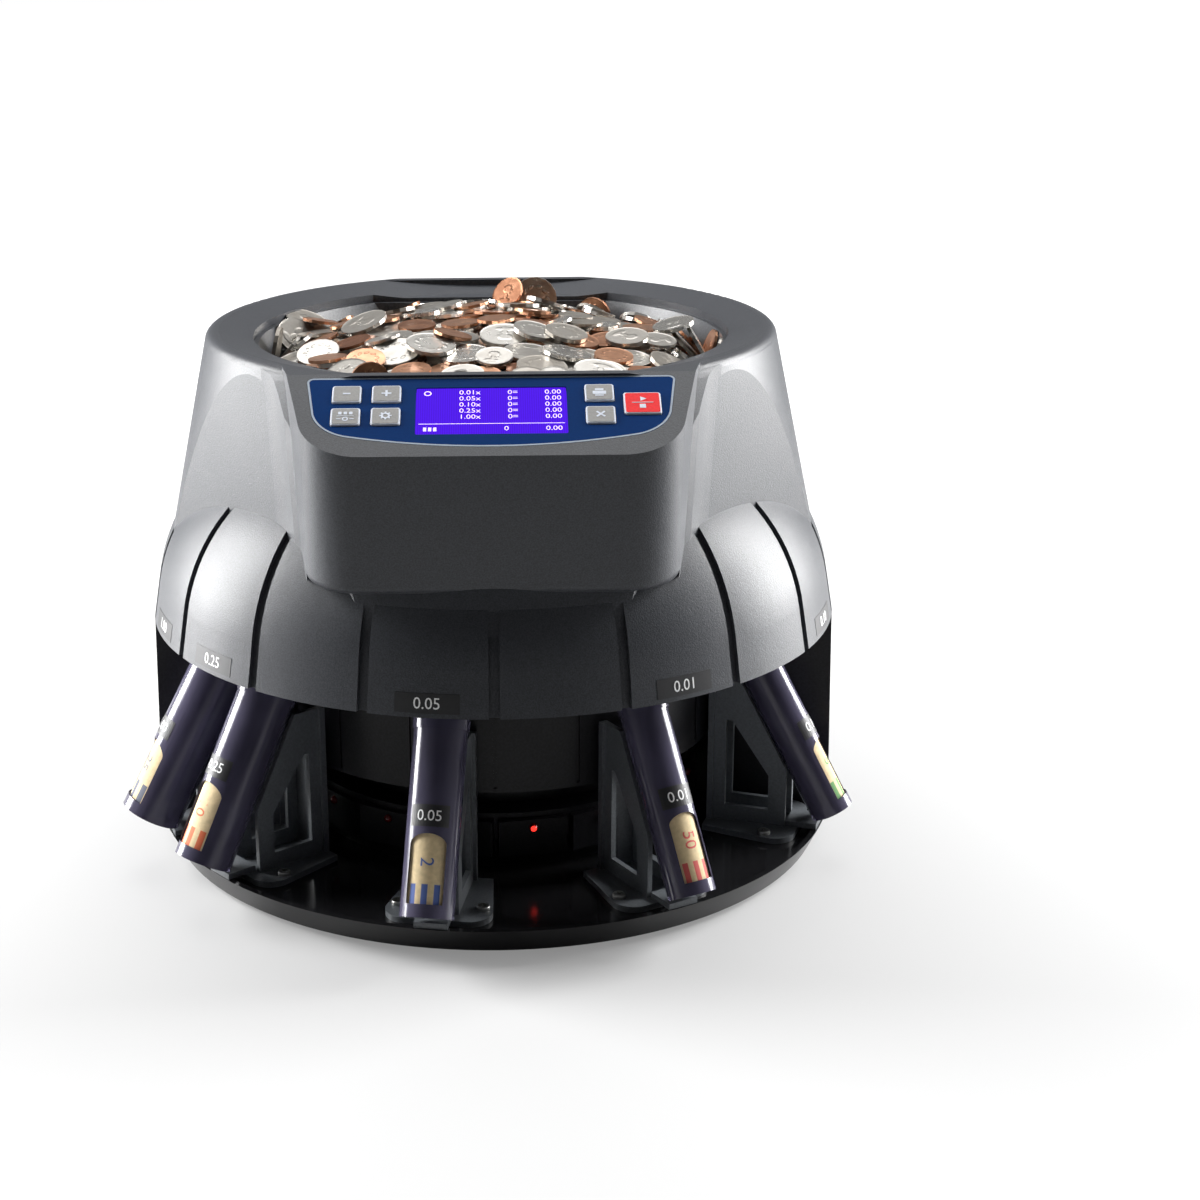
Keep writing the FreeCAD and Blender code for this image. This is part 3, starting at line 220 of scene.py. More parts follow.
def metal(name, color, rough, streak=(40, 40, 900)):
    mat, tree, shader, coords = newMaterial(name)
    stretch = tree.nodes.new("ShaderNodeMapping")
    stretch.inputs["Scale"].default_value = streak
    tree.links.new(coords, stretch.inputs["Vector"])
    lines = addNoise(tree, stretch.outputs["Vector"], 1.0, 3)
    tint = addRamp(tree, lines, [(0.3, shade(color, 0.82)), (0.7, color)])
    tree.links.new(tint, shader.inputs["Base Color"])
    tree.links.new(addRange(tree, lines, rough - 0.06, rough + 0.08), shader.inputs["Roughness"])
    shader.inputs["Metallic"].default_value = 1.0
    return mat


def smokedPlastic(name, tint, rough=0.14, clear=0.35):
    mat, tree, shader, coords = newMaterial(name)
    flow = addNoise(tree, coords, 30, 2)
    tone = addRamp(tree, flow, [(0.3, shade(tint, 0.85)), (0.7, shade(tint, 1.15))])
    tree.links.new(tone, shader.inputs["Base Color"])
    tree.links.new(addRange(tree, flow, rough, rough + 0.06), shader.inputs["Roughness"])
    shader.inputs["Transmission Weight"].default_value = clear
    shader.inputs["IOR"].default_value = 1.5
    return mat


def glow(name, color, strength, rough=0.3):
    mat, tree, shader, coords = newMaterial(name)
    grain = addNoise(tree, coords, 700, 2)
    tint = addRamp(tree, grain, [(0.3, shade(color, 0.92)), (0.7, color)])
    tree.links.new(tint, shader.inputs["Base Color"])
    tree.links.new(tint, shader.inputs["Emission Color"])
    shader.inputs["Emission Strength"].default_value = strength
    shader.inputs["Roughness"].default_value = rough
    return mat


def addMath(tree, kind, a, b=None):
    node = tree.nodes.new("ShaderNodeMath")
    node.operation = kind
    for socket, value in zip(node.inputs, (a, b)):
        if value is None:
            continue
        if isinstance(value, (int, float)):
            socket.default_value = value
        else:
            tree.links.new(value, socket)
    return node.outputs["Value"]


def addSmooth(tree, value, low, high, atLow=0.0, atHigh=1.0):
    step = tree.nodes.new("ShaderNodeMapRange")
    step.interpolation_type = "SMOOTHSTEP"
    step.inputs["From Min"].default_value = low
    step.inputs["From Max"].default_value = high
    step.inputs["To Min"].default_value = atLow
    step.inputs["To Max"].default_value = atHigh
    tree.links.new(value, step.inputs["Value"])
    return step.outputs["Result"]


def addMix(tree, fac, colorA, colorB):
    mix = tree.nodes.new("ShaderNodeMix")
    mix.data_type = "RGBA"
    tree.links.new(fac, mix.inputs["Factor"])
    for socket, color in ((mix.inputs[6], colorA), (mix.inputs[7], colorB)):
        if isinstance(color, tuple):
            socket.default_value = (*color, 1)
        else:
            tree.links.new(color, socket)
    return mix.outputs[2]


def addDot(tree, coords, direction):
    dot = tree.nodes.new("ShaderNodeVectorMath")
    dot.operation = "DOT_PRODUCT"
    dot.inputs[1].default_value = direction
    tree.links.new(coords, dot.inputs[0])
    return dot.outputs["Value"]


def addShift(tree, coords, origin):
    # coordinates measured from a point
    shift = tree.nodes.new("ShaderNodeVectorMath")
    shift.operation = "SUBTRACT"
    shift.inputs[1].default_value = origin
    tree.links.new(coords, shift.inputs[0])
    return shift.outputs["Vector"]


makeCamera()
makeLights()
makeFloor()
print("stage set")

look = {
    "hood": mouldedPlastic("hoodPlastic", (0.042, 0.045, 0.052), 0.4, 1500, 0.0002, 0.25, 0.4),
    "tray": mouldedPlastic("trayGloss", (0.010, 0.010, 0.011), 0.12, 300, 0.00002, 0.2),
    "black": mouldedPlastic("blackPlastic", (0.008, 0.008, 0.010), 0.34, 900, 0.00006, 0.3, 0.22),
    "bowl": mouldedPlastic("bowlPlastic", (0.05, 0.053, 0.06), 0.4, 900, 0.00012, 0.3),
    "slate": mouldedPlastic("standSlate", (0.11, 0.12, 0.13), 0.42, 900, 0.0001, 0.12),
    "rubber": mouldedPlastic("feetRubber", (0.02, 0.02, 0.02), 0.8, 900, 0.00012, 0.2),
    "blue": mouldedPlastic("panelBlue", (0.0, 0.028, 0.13), 0.5, 900, 0.00002, 0.05, 0.03),
    "trim": mouldedPlastic("panelTrim", (0.36, 0.42, 0.5), 0.5, 900, 0.00002, 0.05, 0.2),
    "keyPale": mouldedPlastic("keyPale", (0.72, 0.76, 0.85), 0.5, 900, 0.00002, 0.04, 0.2),
    "keyGrey": mouldedPlastic("keyGrey", (0.33, 0.325, 0.315), 0.5, 900, 0.00004, 0.06, 0.2),
    "keyRed": mouldedPlastic("keyRed", (0.86, 0.014, 0.018), 0.5, 900, 0.00004, 0.06, 0.2),
    "label": mouldedPlastic("labelBlack", (0.016, 0.016, 0.018), 0.45, 900, 0.00002, 0.1),
    "white": mouldedPlastic("numeralWhite", (0.86, 0.86, 0.86), 0.5, 900, 0.00001, 0.03),
    "digit": glow("lcdDigits", (0.75, 0.55, 1.0), 0.75),
    # painted reflection: a red glow standing in for red reflections in screw recesses, not a lit lamp
    "lamp": glow("paintedRedGlint", (1.0, 0.03, 0.02), 2.2),
    "lampOff": mouldedPlastic("lampDark", (0.12, 0.006, 0.006), 0.15, 900, 0.00001, 0.1),
    "board": mouldedPlastic("boardGreen", (0.01, 0.09, 0.03), 0.35, 300, 0.00005, 0.3),
    "gear": mouldedPlastic("gearPlastic", (0.72, 0.69, 0.58), 0.45, 300, 0.00005, 0.08),
    "steel": metal("brushedSteel", (0.62, 0.62, 0.61), 0.28),
    "zinc": metal("zincPlate", (0.55, 0.55, 0.53), 0.34, (200, 200, 200)),
    "aluminium": metal("castAluminium", (0.66, 0.67, 0.68), 0.42, (120, 120, 120)),
    "smoke": smokedPlastic("tubeSmoke", (0.10, 0.092, 0.15)),
}


def lcdMaterial():
    # violet backlight behind a fine grid of dots
    mat, tree, shader, coords = newMaterial("lcdBacklight")
    dots = tree.nodes.new("ShaderNodeTexWave")
    dots.inputs["Scale"].default_value = 320
    tree.links.new(coords, dots.inputs["Vector"])
    tint = addRamp(tree, dots.outputs["Fac"], [(0.0, (0.07, 0.001, 0.82)), (1.0, (0.09, 0.003, 0.98))])
    tree.links.new(addMix(tree, dots.outputs["Fac"], (0.002, 0.0, 0.02), (0.004, 0.0, 0.03)),
                   shader.inputs["Base Color"])
    tree.links.new(tint, shader.inputs["Emission Color"])
    # only the face of the display glows
    outwards = -Vector(joints["key_plus_press"]["axis"])
    normals = tree.nodes.new("ShaderNodeTexCoord").outputs["Normal"]
    facing = addSmooth(tree, addDot(tree, normals, outwards), 0.9, 0.95)
    tree.links.new(addMath(tree, "MULTIPLY", facing, 0.9), shader.inputs["Emission Strength"])
    shader.inputs["Roughness"].default_value = 0.25
    shader.inputs["Specular IOR Level"].default_value = 0.02
    return mat


setMaterial(["hood"], look["hood"])
setMaterial(["base_tray"], look["tray"])
setMaterial(["rear_housing", "pedestal", "drive_drum", "chute_ring", "gate_bracket", "switch_body",
             "power_rocker", "mains_inlet", "coin_sensors"], look["black"])
setMaterial(["hopper_bowl"], look["bowl"])
setMaterial(["stand_" + c for c in coinNames], look["slate"])
setMaterial(["tube_" + c for c in coinNames], look["smoke"])
setMaterial(["rubber_feet", "gate_roller", "pusher_wheel"], look["rubber"])
setMaterial(["panel_overlay"], look["blue"])
setMaterial([n for n in nodes if n.startswith("key_")], look["keyPale"])
setMaterial(["lcd_module"], lcdMaterial())
setMaterial(["sensor_leds"], look["lampOff"])
setMaterial(["key_board", "main_board"], look["board"])
setMaterial(["drive_gear", "motor_pinion"], look["gear"])
setMaterial(["sorting_deck", "track_rail", "feed_disc", "disc_cap", "spindle", "motor_shaft",
             "printer_port", "upper_bearing", "lower_bearing"], look["steel"])
setMaterial(["hood_screws", "base_screws", "stand_screws", "motor"], look["zinc"])
setMaterial(["motor_bracket", "power_supply"], look["aluminium"])
print("materials on the machine's parts")


def keepPiece(bm, name, mat, body, smooth=False):
    mesh = bpy.data.meshes.new(name)
    bm.to_mesh(mesh)
    bm.free()
    mesh.materials.append(mat)
    for face in mesh.polygons:
        face.use_smooth = smooth
    piece = bpy.data.objects.new(name, mesh)
    bpy.context.scene.collection.objects.link(piece)
    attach(piece, body)
    return piece


def addPlate(bm, x, y, width, height, corner=0.0, thick=0.12, turn=0.0, lift=0.0, across=1, upwards=1):
    # a thin plate in millimetres, lying on the plane z = lift
    made = bmesh.ops.create_grid(bm, x_segments=across, y_segments=upwards, size=0.5)
    flat = made["verts"]
    bmesh.ops.scale(bm, verts=flat, vec=(width, height, 1))
    if corner:
        cut = bmesh.ops.bevel(bm, geom=flat, affect="VERTICES", offset=corner, segments=4, profile=0.5,
                              material=-1)
        flat = cut["verts"]
    faces = list({f for v in flat for f in v.link_faces})
    raised = bmesh.ops.extrude_face_region(bm, geom=faces)["geom"]
    top = [v for v in raised if isinstance(v, bmesh.types.BMVert)]
    bmesh.ops.translate(bm, verts=top, vec=(0, 0, thick))
    body = list(set(flat) | set(top))
    spin = Matrix.Rotation(turn, 4, "Z")
    bmesh.ops.transform(bm, matrix=Matrix.Translation((x, y, lift)) @ spin, verts=body)


def addRing(bm, x, y, outer, inner, thick=0.12, segments=24, lift=0.0):
    made = bmesh.ops.create_circle(bm, cap_ends=True, radius=outer, segments=segments)
    face = made["verts"][0].link_faces[0]
    ring = bmesh.ops.inset_region(bm, faces=[face], thickness=outer - inner, use_boundary=True,
                                  use_even_offset=True)["faces"]
    bmesh.ops.delete(bm, geom=[face], context="FACES_ONLY")
    raised = bmesh.ops.extrude_face_region(bm, geom=ring)["geom"]
    top = [v for v in raised if isinstance(v, bmesh.types.BMVert)]
    bmesh.ops.translate(bm, verts=top, vec=(0, 0, thick))
    low = {v for f in ring if f.is_valid for v in f.verts}
    bmesh.ops.translate(bm, verts=list(low | set(top)), vec=(x, y, lift))


def addText(bm, words, size, x=0.0, y=0.0, turn=0.0, thick=0.1, lift=0.0, align="CENTER"):
    data = bpy.data.curves.new("numerals", "FONT")
    data.body = words
    data.size = size
    data.align_x = align
    data.align_y = "CENTER"
    data.extrude = thick / 2
    data.resolution_u = 3
    holder = bpy.data.objects.new("numerals", data)
    bpy.context.scene.collection.objects.link(holder)
    mesh = bpy.data.meshes.new_from_object(holder)
    spin = Matrix.Rotation(turn, 4, "Z")
    mesh.transform(Matrix.Translation((x, y, lift + thick / 2)) @ spin)
    bm.from_mesh(mesh)
    bpy.data.objects.remove(holder)
    bpy.data.curves.remove(data)
    bpy.data.meshes.remove(mesh)


def bend(bm, toPlace):
    # lays a flat piece, in millimetres, on a surface
    for v in bm.verts:
        v.co = toPlace(*v.co)
    bmesh.ops.remove_doubles(bm, verts=bm.verts, dist=1e-7)
    bmesh.ops.recalc_face_normals(bm, faces=bm.faces)


# the panel's own directions come from the way a key is pressed
panelOut = -Vector(joints["key_plus_press"]["axis"])
panelUp = panelOut.cross(Vector((1, 0, 0)))
panelLevel = max(v.co.dot(panelOut) for v in nodes["panel_overlay"].data.vertices)


def topOf(name):
    # centre and size of a part's uppermost face, seen square to the panel
    points = [v.co for v in nodes[name].data.vertices]
    level = max(p.dot(panelOut) for p in points)
    face = [p for p in points if level - p.dot(panelOut) < 0.00005]
    xs = [p.x for p in face]
    ys = [p.dot(panelUp) for p in face]
    centre = ((min(xs) + max(xs)) / 2, (min(ys) + max(ys)) / 2, level)
    return centre, (max(xs) - min(xs)) / mm, (max(ys) - min(ys)) / mm


def onPanel(centre):
    def toPlace(x, y, z):
        along = Vector((centre[0] + x * mm, 0, 0))
        return along + panelUp * (centre[1] + y * mm) + panelOut * (centre[2] + z * mm)
    return toPlace


def markMinus(bm):
    addPlate(bm, 0, 0, 3.4, 1.0)


def markPlus(bm):
    addPlate(bm, 0, 0, 4.4, 1.0)
    addPlate(bm, 0, 0, 1.0, 4.4, thick=0.13)


def markMode(bm):
    addPlate(bm, 0, 0, 7.4, 0.35)
    for x in (-2.4, 0, 2.4):
        addPlate(bm, x, 2.0, 1.5, 1.9, 0.3)
    addRing(bm, 0, -2.1, 1.35, 0.8)
    for x in (-2.9, 2.9):
        addPlate(bm, x, -2.1, 1.9, 0.5)


def markSet(bm):
    addRing(bm, 0, 0, 2.0, 1.15)
    for i in range(8):
        turn = math.radians(45 * i)
        addPlate(bm, 2.3 * math.cos(turn), 2.3 * math.sin(turn), 0.9, 0.75, turn=turn, thick=0.13)


def markPrint(bm):
    addPlate(bm, 0, -0.5, 6.0, 2.3, 0.4)
    addPlate(bm, 0, 1.7, 3.8, 1.3)
    addPlate(bm, 0, -2.5, 3.8, 0.9)


def markClear(bm):
    for turn in (45, -45):
        addPlate(bm, 0, 0, 5.0, 0.9, turn=math.radians(turn), thick=0.12 + 0.01 * (turn > 0))


def markStart(bm):
    addPlate(bm, 0, 0, 9.4, 0.35)
    wedge = bmesh.ops.create_cone(bm, cap_ends=True, segments=3, radius1=1.75, radius2=1.75,
                                  depth=0.12)["verts"]
    bmesh.ops.rotate(bm, verts=wedge, matrix=Matrix.Rotation(math.radians(-90), 3, "Z"))
    bmesh.ops.translate(bm, verts=wedge, vec=(0, 2.6, 0.06))
    addPlate(bm, 0, -2.6, 2.7, 2.7, 0.3)


keyMarks = {"key_minus": markMinus, "key_plus": markPlus, "key_mode": markMode, "key_set": markSet,
            "key_print": markPrint, "key_clear": markClear, "key_start_stop": markStart}
keySpec = {"border": 0.95, "corner": 0.9, "faceThick": 0.14}


def makeKeyFaces():
    for key, drawMark in keyMarks.items():
        centre, width, height = topOf(key)
        bm = bmesh.new()
        rim = 2 * keySpec["border"] - 1.0
        addPlate(bm, 0, 0, width - rim, height - rim, keySpec["corner"], keySpec["faceThick"])
        bend(bm, onPanel(centre))
        tint, slot = ("keyRed", "key_red") if key == "key_start_stop" else ("keyGrey", "key_grey")
        keepPiece(bm, key.replace("key_", "face_"), look[tint], key)
        bm = bmesh.new()
        drawMark(bm)
        bmesh.ops.translate(bm, verts=bm.verts, vec=(0, 0, keySpec["faceThick"]))
        bend(bm, onPanel(centre))
        keepPiece(bm, key.replace("key_", "mark_"), look["keyPale"], key)


lcdRows = {"rows": ("0.01", "0.05", "0.10", "0.25", "1.00"), "top": 13.2, "step": 4.35, "size": 4.3,
           "line": -9.0, "total": -12.6, "columns": (-9.5, 9.5, 31.0)}


def makeDigits():
    centre, width, height = topOf("lcd_module")
    bm = bmesh.new()
    coinX, countX, valueX = lcdRows["columns"]
    size = lcdRows["size"]
    for i, value in enumerate(lcdRows["rows"]):
        y = lcdRows["top"] - i * lcdRows["step"]
        addText(bm, value + "x", size, coinX, y, thick=0.04, align="CENTER")
        addText(bm, "0=", size, countX, y, thick=0.04, align="CENTER")
        addText(bm, "0.00", size, valueX, y, thick=0.04, align="RIGHT")
    addPlate(bm, 0, lcdRows["line"], width - 2.5, 0.35, thick=0.04)
    addText(bm, "0", size, countX - 3, lcdRows["total"], thick=0.04, align="CENTER")
    addText(bm, "0.00", size, valueX, lcdRows["total"], thick=0.04, align="RIGHT")
    for i in range(3):
        addPlate(bm, -width / 2 + 4 + 2.2 * i, lcdRows["total"] - 0.2, 1.4, 2.6, thick=0.04)
    addRing(bm, -width / 2 + 5, lcdRows["top"] - 0.5, 1.7, 1.15, thick=0.04)
    bend(bm, onPanel((centre[0], centre[1], centre[2] + 0.02 * mm)))
    keepPiece(bm, "lcd_digits", look["digit"], "chassis")


trimSpec = {"width": 0.9, "thick": 0.08}


def makeTrim():
    # a pale line round the panel, taken from the overlay's own outline
    bm = bmesh.new()
    bm.from_mesh(nodes["panel_overlay"].data)
    bmesh.ops.remove_doubles(bm, verts=bm.verts, dist=1e-6)
    under = [f for f in bm.faces if f.calc_center_median().dot(panelOut) < panelLevel - 0.00002]
    bmesh.ops.delete(bm, geom=under, context="FACES")
    rims = [e for e in bm.edges if len(e.link_faces) == 1]
    far = max(e.verts[0].co.x for e in rims)
    # walk round the outermost loop
    start = next(e for e in rims if abs(e.verts[0].co.x - far) < 1e-6)
    loop = [start.verts[0], start.verts[1]]
    while loop[-1] != loop[0]:
        here = loop[-1]
        ahead = [e for e in here.link_edges if len(e.link_faces) == 1 and e.other_vert(here) != loop[-2]]
        loop.append(ahead[0].other_vert(here))
    outline = [v.co.copy() for v in loop[:-1]]
    bm.free()
    bm = bmesh.new()
    face = bm.faces.new([bm.verts.new(p) for p in outline])
    bm.normal_update()
    if face.normal.dot(panelOut) < 0:
        bmesh.ops.reverse_faces(bm, faces=[face])
    bmesh.ops.inset_region(bm, faces=[face], thickness=trimSpec["width"] * mm, use_boundary=True,
                           use_even_offset=True)
    bmesh.ops.delete(bm, geom=[face], context="FACES_ONLY")
    raised = bmesh.ops.extrude_face_region(bm, geom=list(bm.faces))["geom"]
    top = [v for v in raised if isinstance(v, bmesh.types.BMVert)]
    bmesh.ops.translate(bm, verts=top, vec=panelOut * trimSpec["thick"] * mm)
    bmesh.ops.recalc_face_normals(bm, faces=bm.faces)
    keepPiece(bm, "panel_trim", look["trim"], "chassis")


makeKeyFaces()
makeDigits()
makeTrim()
print("control panel finished")

values = {"dollar": "1.00", "quarter": "0.25", "nickel": "0.05", "penny": "0.01", "dime": "0.10"}
hoodLabel = {"width": 30.0, "height": 9.0, "rise": 6.6, "thick": 0.15, "digits": 7.4, "lean": 3.7 / 21.5}
tubeLabel = {"width": 19.0, "height": 10.0, "along": 46.0, "thick": 0.15, "digits": 7.0}
hoodLow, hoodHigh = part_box("hood")
hoodRadius = (hoodHigh.x - hoodLow.x) / 2


def onSkirt(azimuth):
    def toPlace(x, y, z):
        height = hoodLow.z + (hoodLabel["rise"] + y) * mm
        radius = hoodRadius - hoodLabel["lean"] * (height - hoodLow.z) + z * mm
        return place(radius, azimuth + x * mm / hoodRadius, height)
    return toPlace


tubeSpec = {"wall": 1.6, "paper": 0.3, "floor": 2.0}
mounts = {m["name"]: m for m in frame["record"]["mounts"]}


def measureTube(coin):
    # one coin tube: its foot, its directions and its radius, from the roll that it holds
    roll = mounts["roll_" + coin]
    up = Vector(roll["axis"])
    length = roll["dims"]["length_mm"] * mm
    away = -Vector((up.x, up.y, 0)).normalized()
    out = (away - up * away.dot(up)).normalized()
    return {"up": up, "out": out, "side": up.cross(out), "bore": roll["dims"]["r_mm"],
            "foot": Vector(roll["pos_m"]) - up * (length / 2 + tubeSpec["floor"] * mm)}


def onTube(tube, radius, rise):
    def toPlace(x, y, z):
        turn = x / radius
        outwards = tube["out"] * math.cos(turn) + tube["side"] * math.sin(turn)
        return tube["foot"] + tube["up"] * (rise + y) * mm + outwards * (radius + z) * mm
    return toPlace


tubes = {coin: measureTube(coin) for coin in coinNames}


def makeLabels():
    for coin in coinNames:
        outside = tubes[coin]["bore"] + tubeSpec["wall"]
        for kind, spec, surface, body in (
                ("hood", hoodLabel, onSkirt(azimuthOf(coin)), "chassis"),
                ("tube", tubeLabel, onTube(tubes[coin], outside, tubeLabel["along"]), "tube_" + coin)):
            bm = bmesh.new()
            addPlate(bm, 0, 0, spec["width"], spec["height"], thick=spec["thick"], across=14, upwards=2)
            bend(bm, surface)
            keepPiece(bm, kind + "_label_" + coin, look["label"], body)
            bm = bmesh.new()
            addText(bm, values[coin], spec["digits"], y=-0.2, lift=spec["thick"])
            bend(bm, surface)
            keepPiece(bm, kind + "_numerals_" + coin, look["white"], body)


paperInk = {"dollar": (0.10, 0.11, 0.15), "quarter": (0.61, 0.127, 0.045), "nickel": (0.07, 0.115, 0.33),
            "penny": (0.58, 0.10, 0.09), "dime": (0.127, 0.305, 0.102)}
paperValue = {"dollar": "25", "quarter": "10", "nickel": "2", "penny": "50", "dime": "5"}
paperSpec = {"tan": (0.66, 0.52, 0.30), "bars": 12, "barTop": 15.0, "barFoot": 4.2,
             "digits": 9.0, "rise": 25.0}


def paperMaterial(coin):
    # kraft paper with upright bars printed round its foot
    tube = tubes[coin]
    mat, tree, shader, coords = newMaterial("paper_" + coin)
    local = addShift(tree, coords, tube["foot"])
    height = addDot(tree, local, tube["up"])
    turn = addMath(tree, "ARCTAN2", addDot(tree, local, tube["side"]), addDot(tree, local, tube["out"]))
    wave = addMath(tree, "COSINE", addMath(tree, "MULTIPLY", turn, paperSpec["bars"]))
    bars = addSmooth(tree, wave, -0.12, 0.12)
    foot, top = paperSpec["barFoot"], paperSpec["barTop"]
    low = addSmooth(tree, height, (foot - 0.15) * mm, (foot + 0.15) * mm)
    high = addSmooth(tree, height, (top - 0.2) * mm, (top + 0.2) * mm, 1.0, 0.0)
    ink = addMath(tree, "MULTIPLY", bars, addMath(tree, "MULTIPLY", low, high))
    fibre = addNoise(tree, coords, 420, 4)
    tan = paperSpec["tan"]
    paper = addRamp(tree, fibre, [(0.3, shade(tan, 0.86)), (0.7, shade(tan, 1.08))])
    tree.links.new(addMix(tree, ink, paper, paperInk[coin]), shader.inputs["Base Color"])
    shader.inputs["Roughness"].default_value = 0.75
    addBump(tree, shader, fibre, 0.00005, 0.4)
    return mat


def makePaper():
    for coin in coinNames:
        mat = paperMaterial(coin)
        setMaterial(["wrapper_" + coin], mat)
        tube = tubes[coin]
        ink = mouldedPlastic("ink_" + coin, paperInk[coin], 0.7, 900, 0.00001, 0.1)
        bm = bmesh.new()
        # the numerals are read with the tube lying on its side
        addText(bm, paperValue[coin], paperSpec["digits"], turn=math.radians(-90), thick=0.04, lift=0.03)
        bend(bm, onTube(tube, tube["bore"] + tubeSpec["paper"], paperSpec["rise"]))
        keepPiece(bm, "paper_numerals_" + coin, ink, "tube_" + coin)


# two glowing red spots on the sensor step: painted reflections of red in screw recesses, not lit lamps
paintedGlintSpots = {"azimuths": (10, 30), "radius": 1.7, "within": 3, "sunk": 0.8}


def makePaintedGlints():
    points = [v.co for v in nodes["sensor_leds"].data.vertices]
    for i, azimuth in enumerate(paintedGlintSpots["azimuths"]):
        heading = Vector((math.sin(math.radians(azimuth)), -math.cos(math.radians(azimuth)), 0))
        aligned = math.cos(math.radians(paintedGlintSpots["within"]))
        near = [p for p in points if (p - axis).to_2d().normalized().dot(heading.to_2d()) > aligned]
        tip = max(near, key=lambda p: p.dot(heading))
        level = sum(p.z for p in near) / len(near)
        bm = bmesh.new()
        bmesh.ops.create_uvsphere(bm, u_segments=16, v_segments=10, radius=paintedGlintSpots["radius"] * mm)
        reach = (tip - axis).dot(heading) - paintedGlintSpots["radius"] * paintedGlintSpots["sunk"] * mm
        bmesh.ops.translate(bm, verts=bm.verts, vec=axis + heading * reach + Vector((0, 0, level)))
        keepPiece(bm, "painted_red_glint_" + str(i + 1), look["lamp"], "chassis", smooth=True)


makeLabels()
makePaper()
# the glowing red spots added here are painted reflections, not lamps
makePaintedGlints()
print("labels, paper rolls and lamps finished")


def addBlob(tree, coords, x, y, wide, tall, turn=0.0):
    # a soft raised ellipse of the coins' relief
    fit = tree.nodes.new("ShaderNodeMapping")
    fit.vector_type = "TEXTURE"
    fit.inputs["Location"].default_value = (x, y, 0)
    fit.inputs["Rotation"].default_value = (0, 0, math.radians(turn))
    fit.inputs["Scale"].default_value = (wide, tall, 1)
    tree.links.new(coords, fit.inputs["Vector"])
    size = tree.nodes.new("ShaderNodeVectorMath")
    size.operation = "LENGTH"
    tree.links.new(fit.outputs["Vector"], size.inputs[0])
    return addSmooth(tree, size.outputs["Value"], 0.55, 1.0, 1.0, 0.0)


# a plain head in profile on one side and a plain wreath on the other, in coin radii
headRelief = [(0.03, 0.2, 0.27, 0.33, 0), (-0.1, 0.24, 0.28, 0.3, 20), (-0.02, -0.2, 0.15, 0.3, 8),
              (-0.06, -0.52, 0.46, 0.2, 0), (0.27, 0.14, 0.08, 0.07, 30), (0.17, -0.06, 0.12, 0.09, 0)]
wreathSpec = {"centre": 10.0, "leaves": 10, "ring": 0.58, "leaf": (0.17, 0.09)}


def coinMaterial(name, bright, dull, rough):
    mat, tree, shader, coords = newMaterial(name)
    face = tree.nodes.new("ShaderNodeUVMap")
    face.uv_map = "face"
    relief = None
    blobs = list(headRelief)
    for i in range(wreathSpec["leaves"]):
        turn = 360 * i / wreathSpec["leaves"]
        angle = math.radians(turn)
        ring = wreathSpec["ring"]
        blobs.append((wreathSpec["centre"] + ring * math.cos(angle), ring * math.sin(angle),
                      *wreathSpec["leaf"], turn + 60))
    for blob in blobs:
        bump = addBlob(tree, face.outputs["UV"], *blob)
        relief = bump if relief is None else addMath(tree, "MAXIMUM", relief, bump)
    tone = tree.nodes.new("ShaderNodeAttribute")
    tone.attribute_name = "tone"
    stain = addNoise(tree, coords, 160, 4)
    wear = addMath(tree, "MULTIPLY", tone.outputs["Fac"], 0.6)
    aged = addMath(tree, "ADD", wear, addMath(tree, "MULTIPLY", stain, 0.55))
    worn = addRamp(tree, aged, [(0.25, bright), (0.85, dull)])
    tree.links.new(worn, shader.inputs["Base Color"])
    tree.links.new(addRange(tree, aged, rough, rough + 0.22), shader.inputs["Roughness"])
    shader.inputs["Metallic"].default_value = 1.0
    fine = addMath(tree, "MULTIPLY", addNoise(tree, coords, 1500, 3), 0.25)
    addBump(tree, shader, addMath(tree, "ADD", relief, fine), 0.0003, 0.8)
    return mat


# names, radius and thickness in millimetres, and how many of a hundred
coinKinds = [("penny", 9.5, 1.5, 32, "copper"), ("dime", 8.95, 1.35, 22, "silver"),
             ("nickel", 10.6, 1.95, 18, "silver"), ("quarter", 12.1, 1.75, 28, "silver")]
# the metals, their bright and dull tones and how rough they are
coinMetals = [("silver", "coinSilver", (0.72, 0.70, 0.66), (0.36, 0.33, 0.29), 0.2),
              ("copper", "coinCopper", (0.66, 0.36, 0.22), (0.20, 0.09, 0.05), 0.24)]
heap = {"seed": 11, "layers": 7, "pitch": 23.5, "jitter": 4, "topple": 0.25,
        "dropGap": 11.0, "firstDrop": 6,
        "reach": 106.0, "back": -2.0, "crown": 266.0, "cover": 9.0, "fall": 17.0,
        "scale": 40.0, "frames": 110, "segments": 18,
        "keepReach": 0.125, "keepLow": 0.22, "keepHigh": 0.282, "quickCoins": 150}


def heapFloor(x, y):
    # height of the false floor under the heap, in millimetres, from the hopper's middle
    return heap["crown"] - heap["cover"] - heap["fall"] * (x * x + y * y) / heap["reach"] ** 2


def coinMesh(radius, thick):
    bm = bmesh.new()
    bmesh.ops.create_cone(bm, cap_ends=True, segments=heap["segments"], radius1=radius * mm,
                          radius2=radius * mm, depth=thick * mm)
    caps = [f for f in bm.faces if len(f.verts) > 4]
    bmesh.ops.inset_region(bm, faces=caps, thickness=radius * 0.075 * mm, depth=-0.13 * mm)
    layer = bm.loops.layers.uv.new("face")
    for f in bm.faces:
        flat = len(f.verts) > 4
        for corner in f.loops:
            u, v = corner.vert.co.x / (radius * mm), corner.vert.co.y / (radius * mm)
            side = 0.0 if f.normal.z > 0 else wreathSpec["centre"]
            corner[layer].uv = (side + u, v) if flat else (20.0, 20.0)
    mesh = bpy.data.meshes.new("coin")
    bm.to_mesh(mesh)
    bm.free()
    return mesh


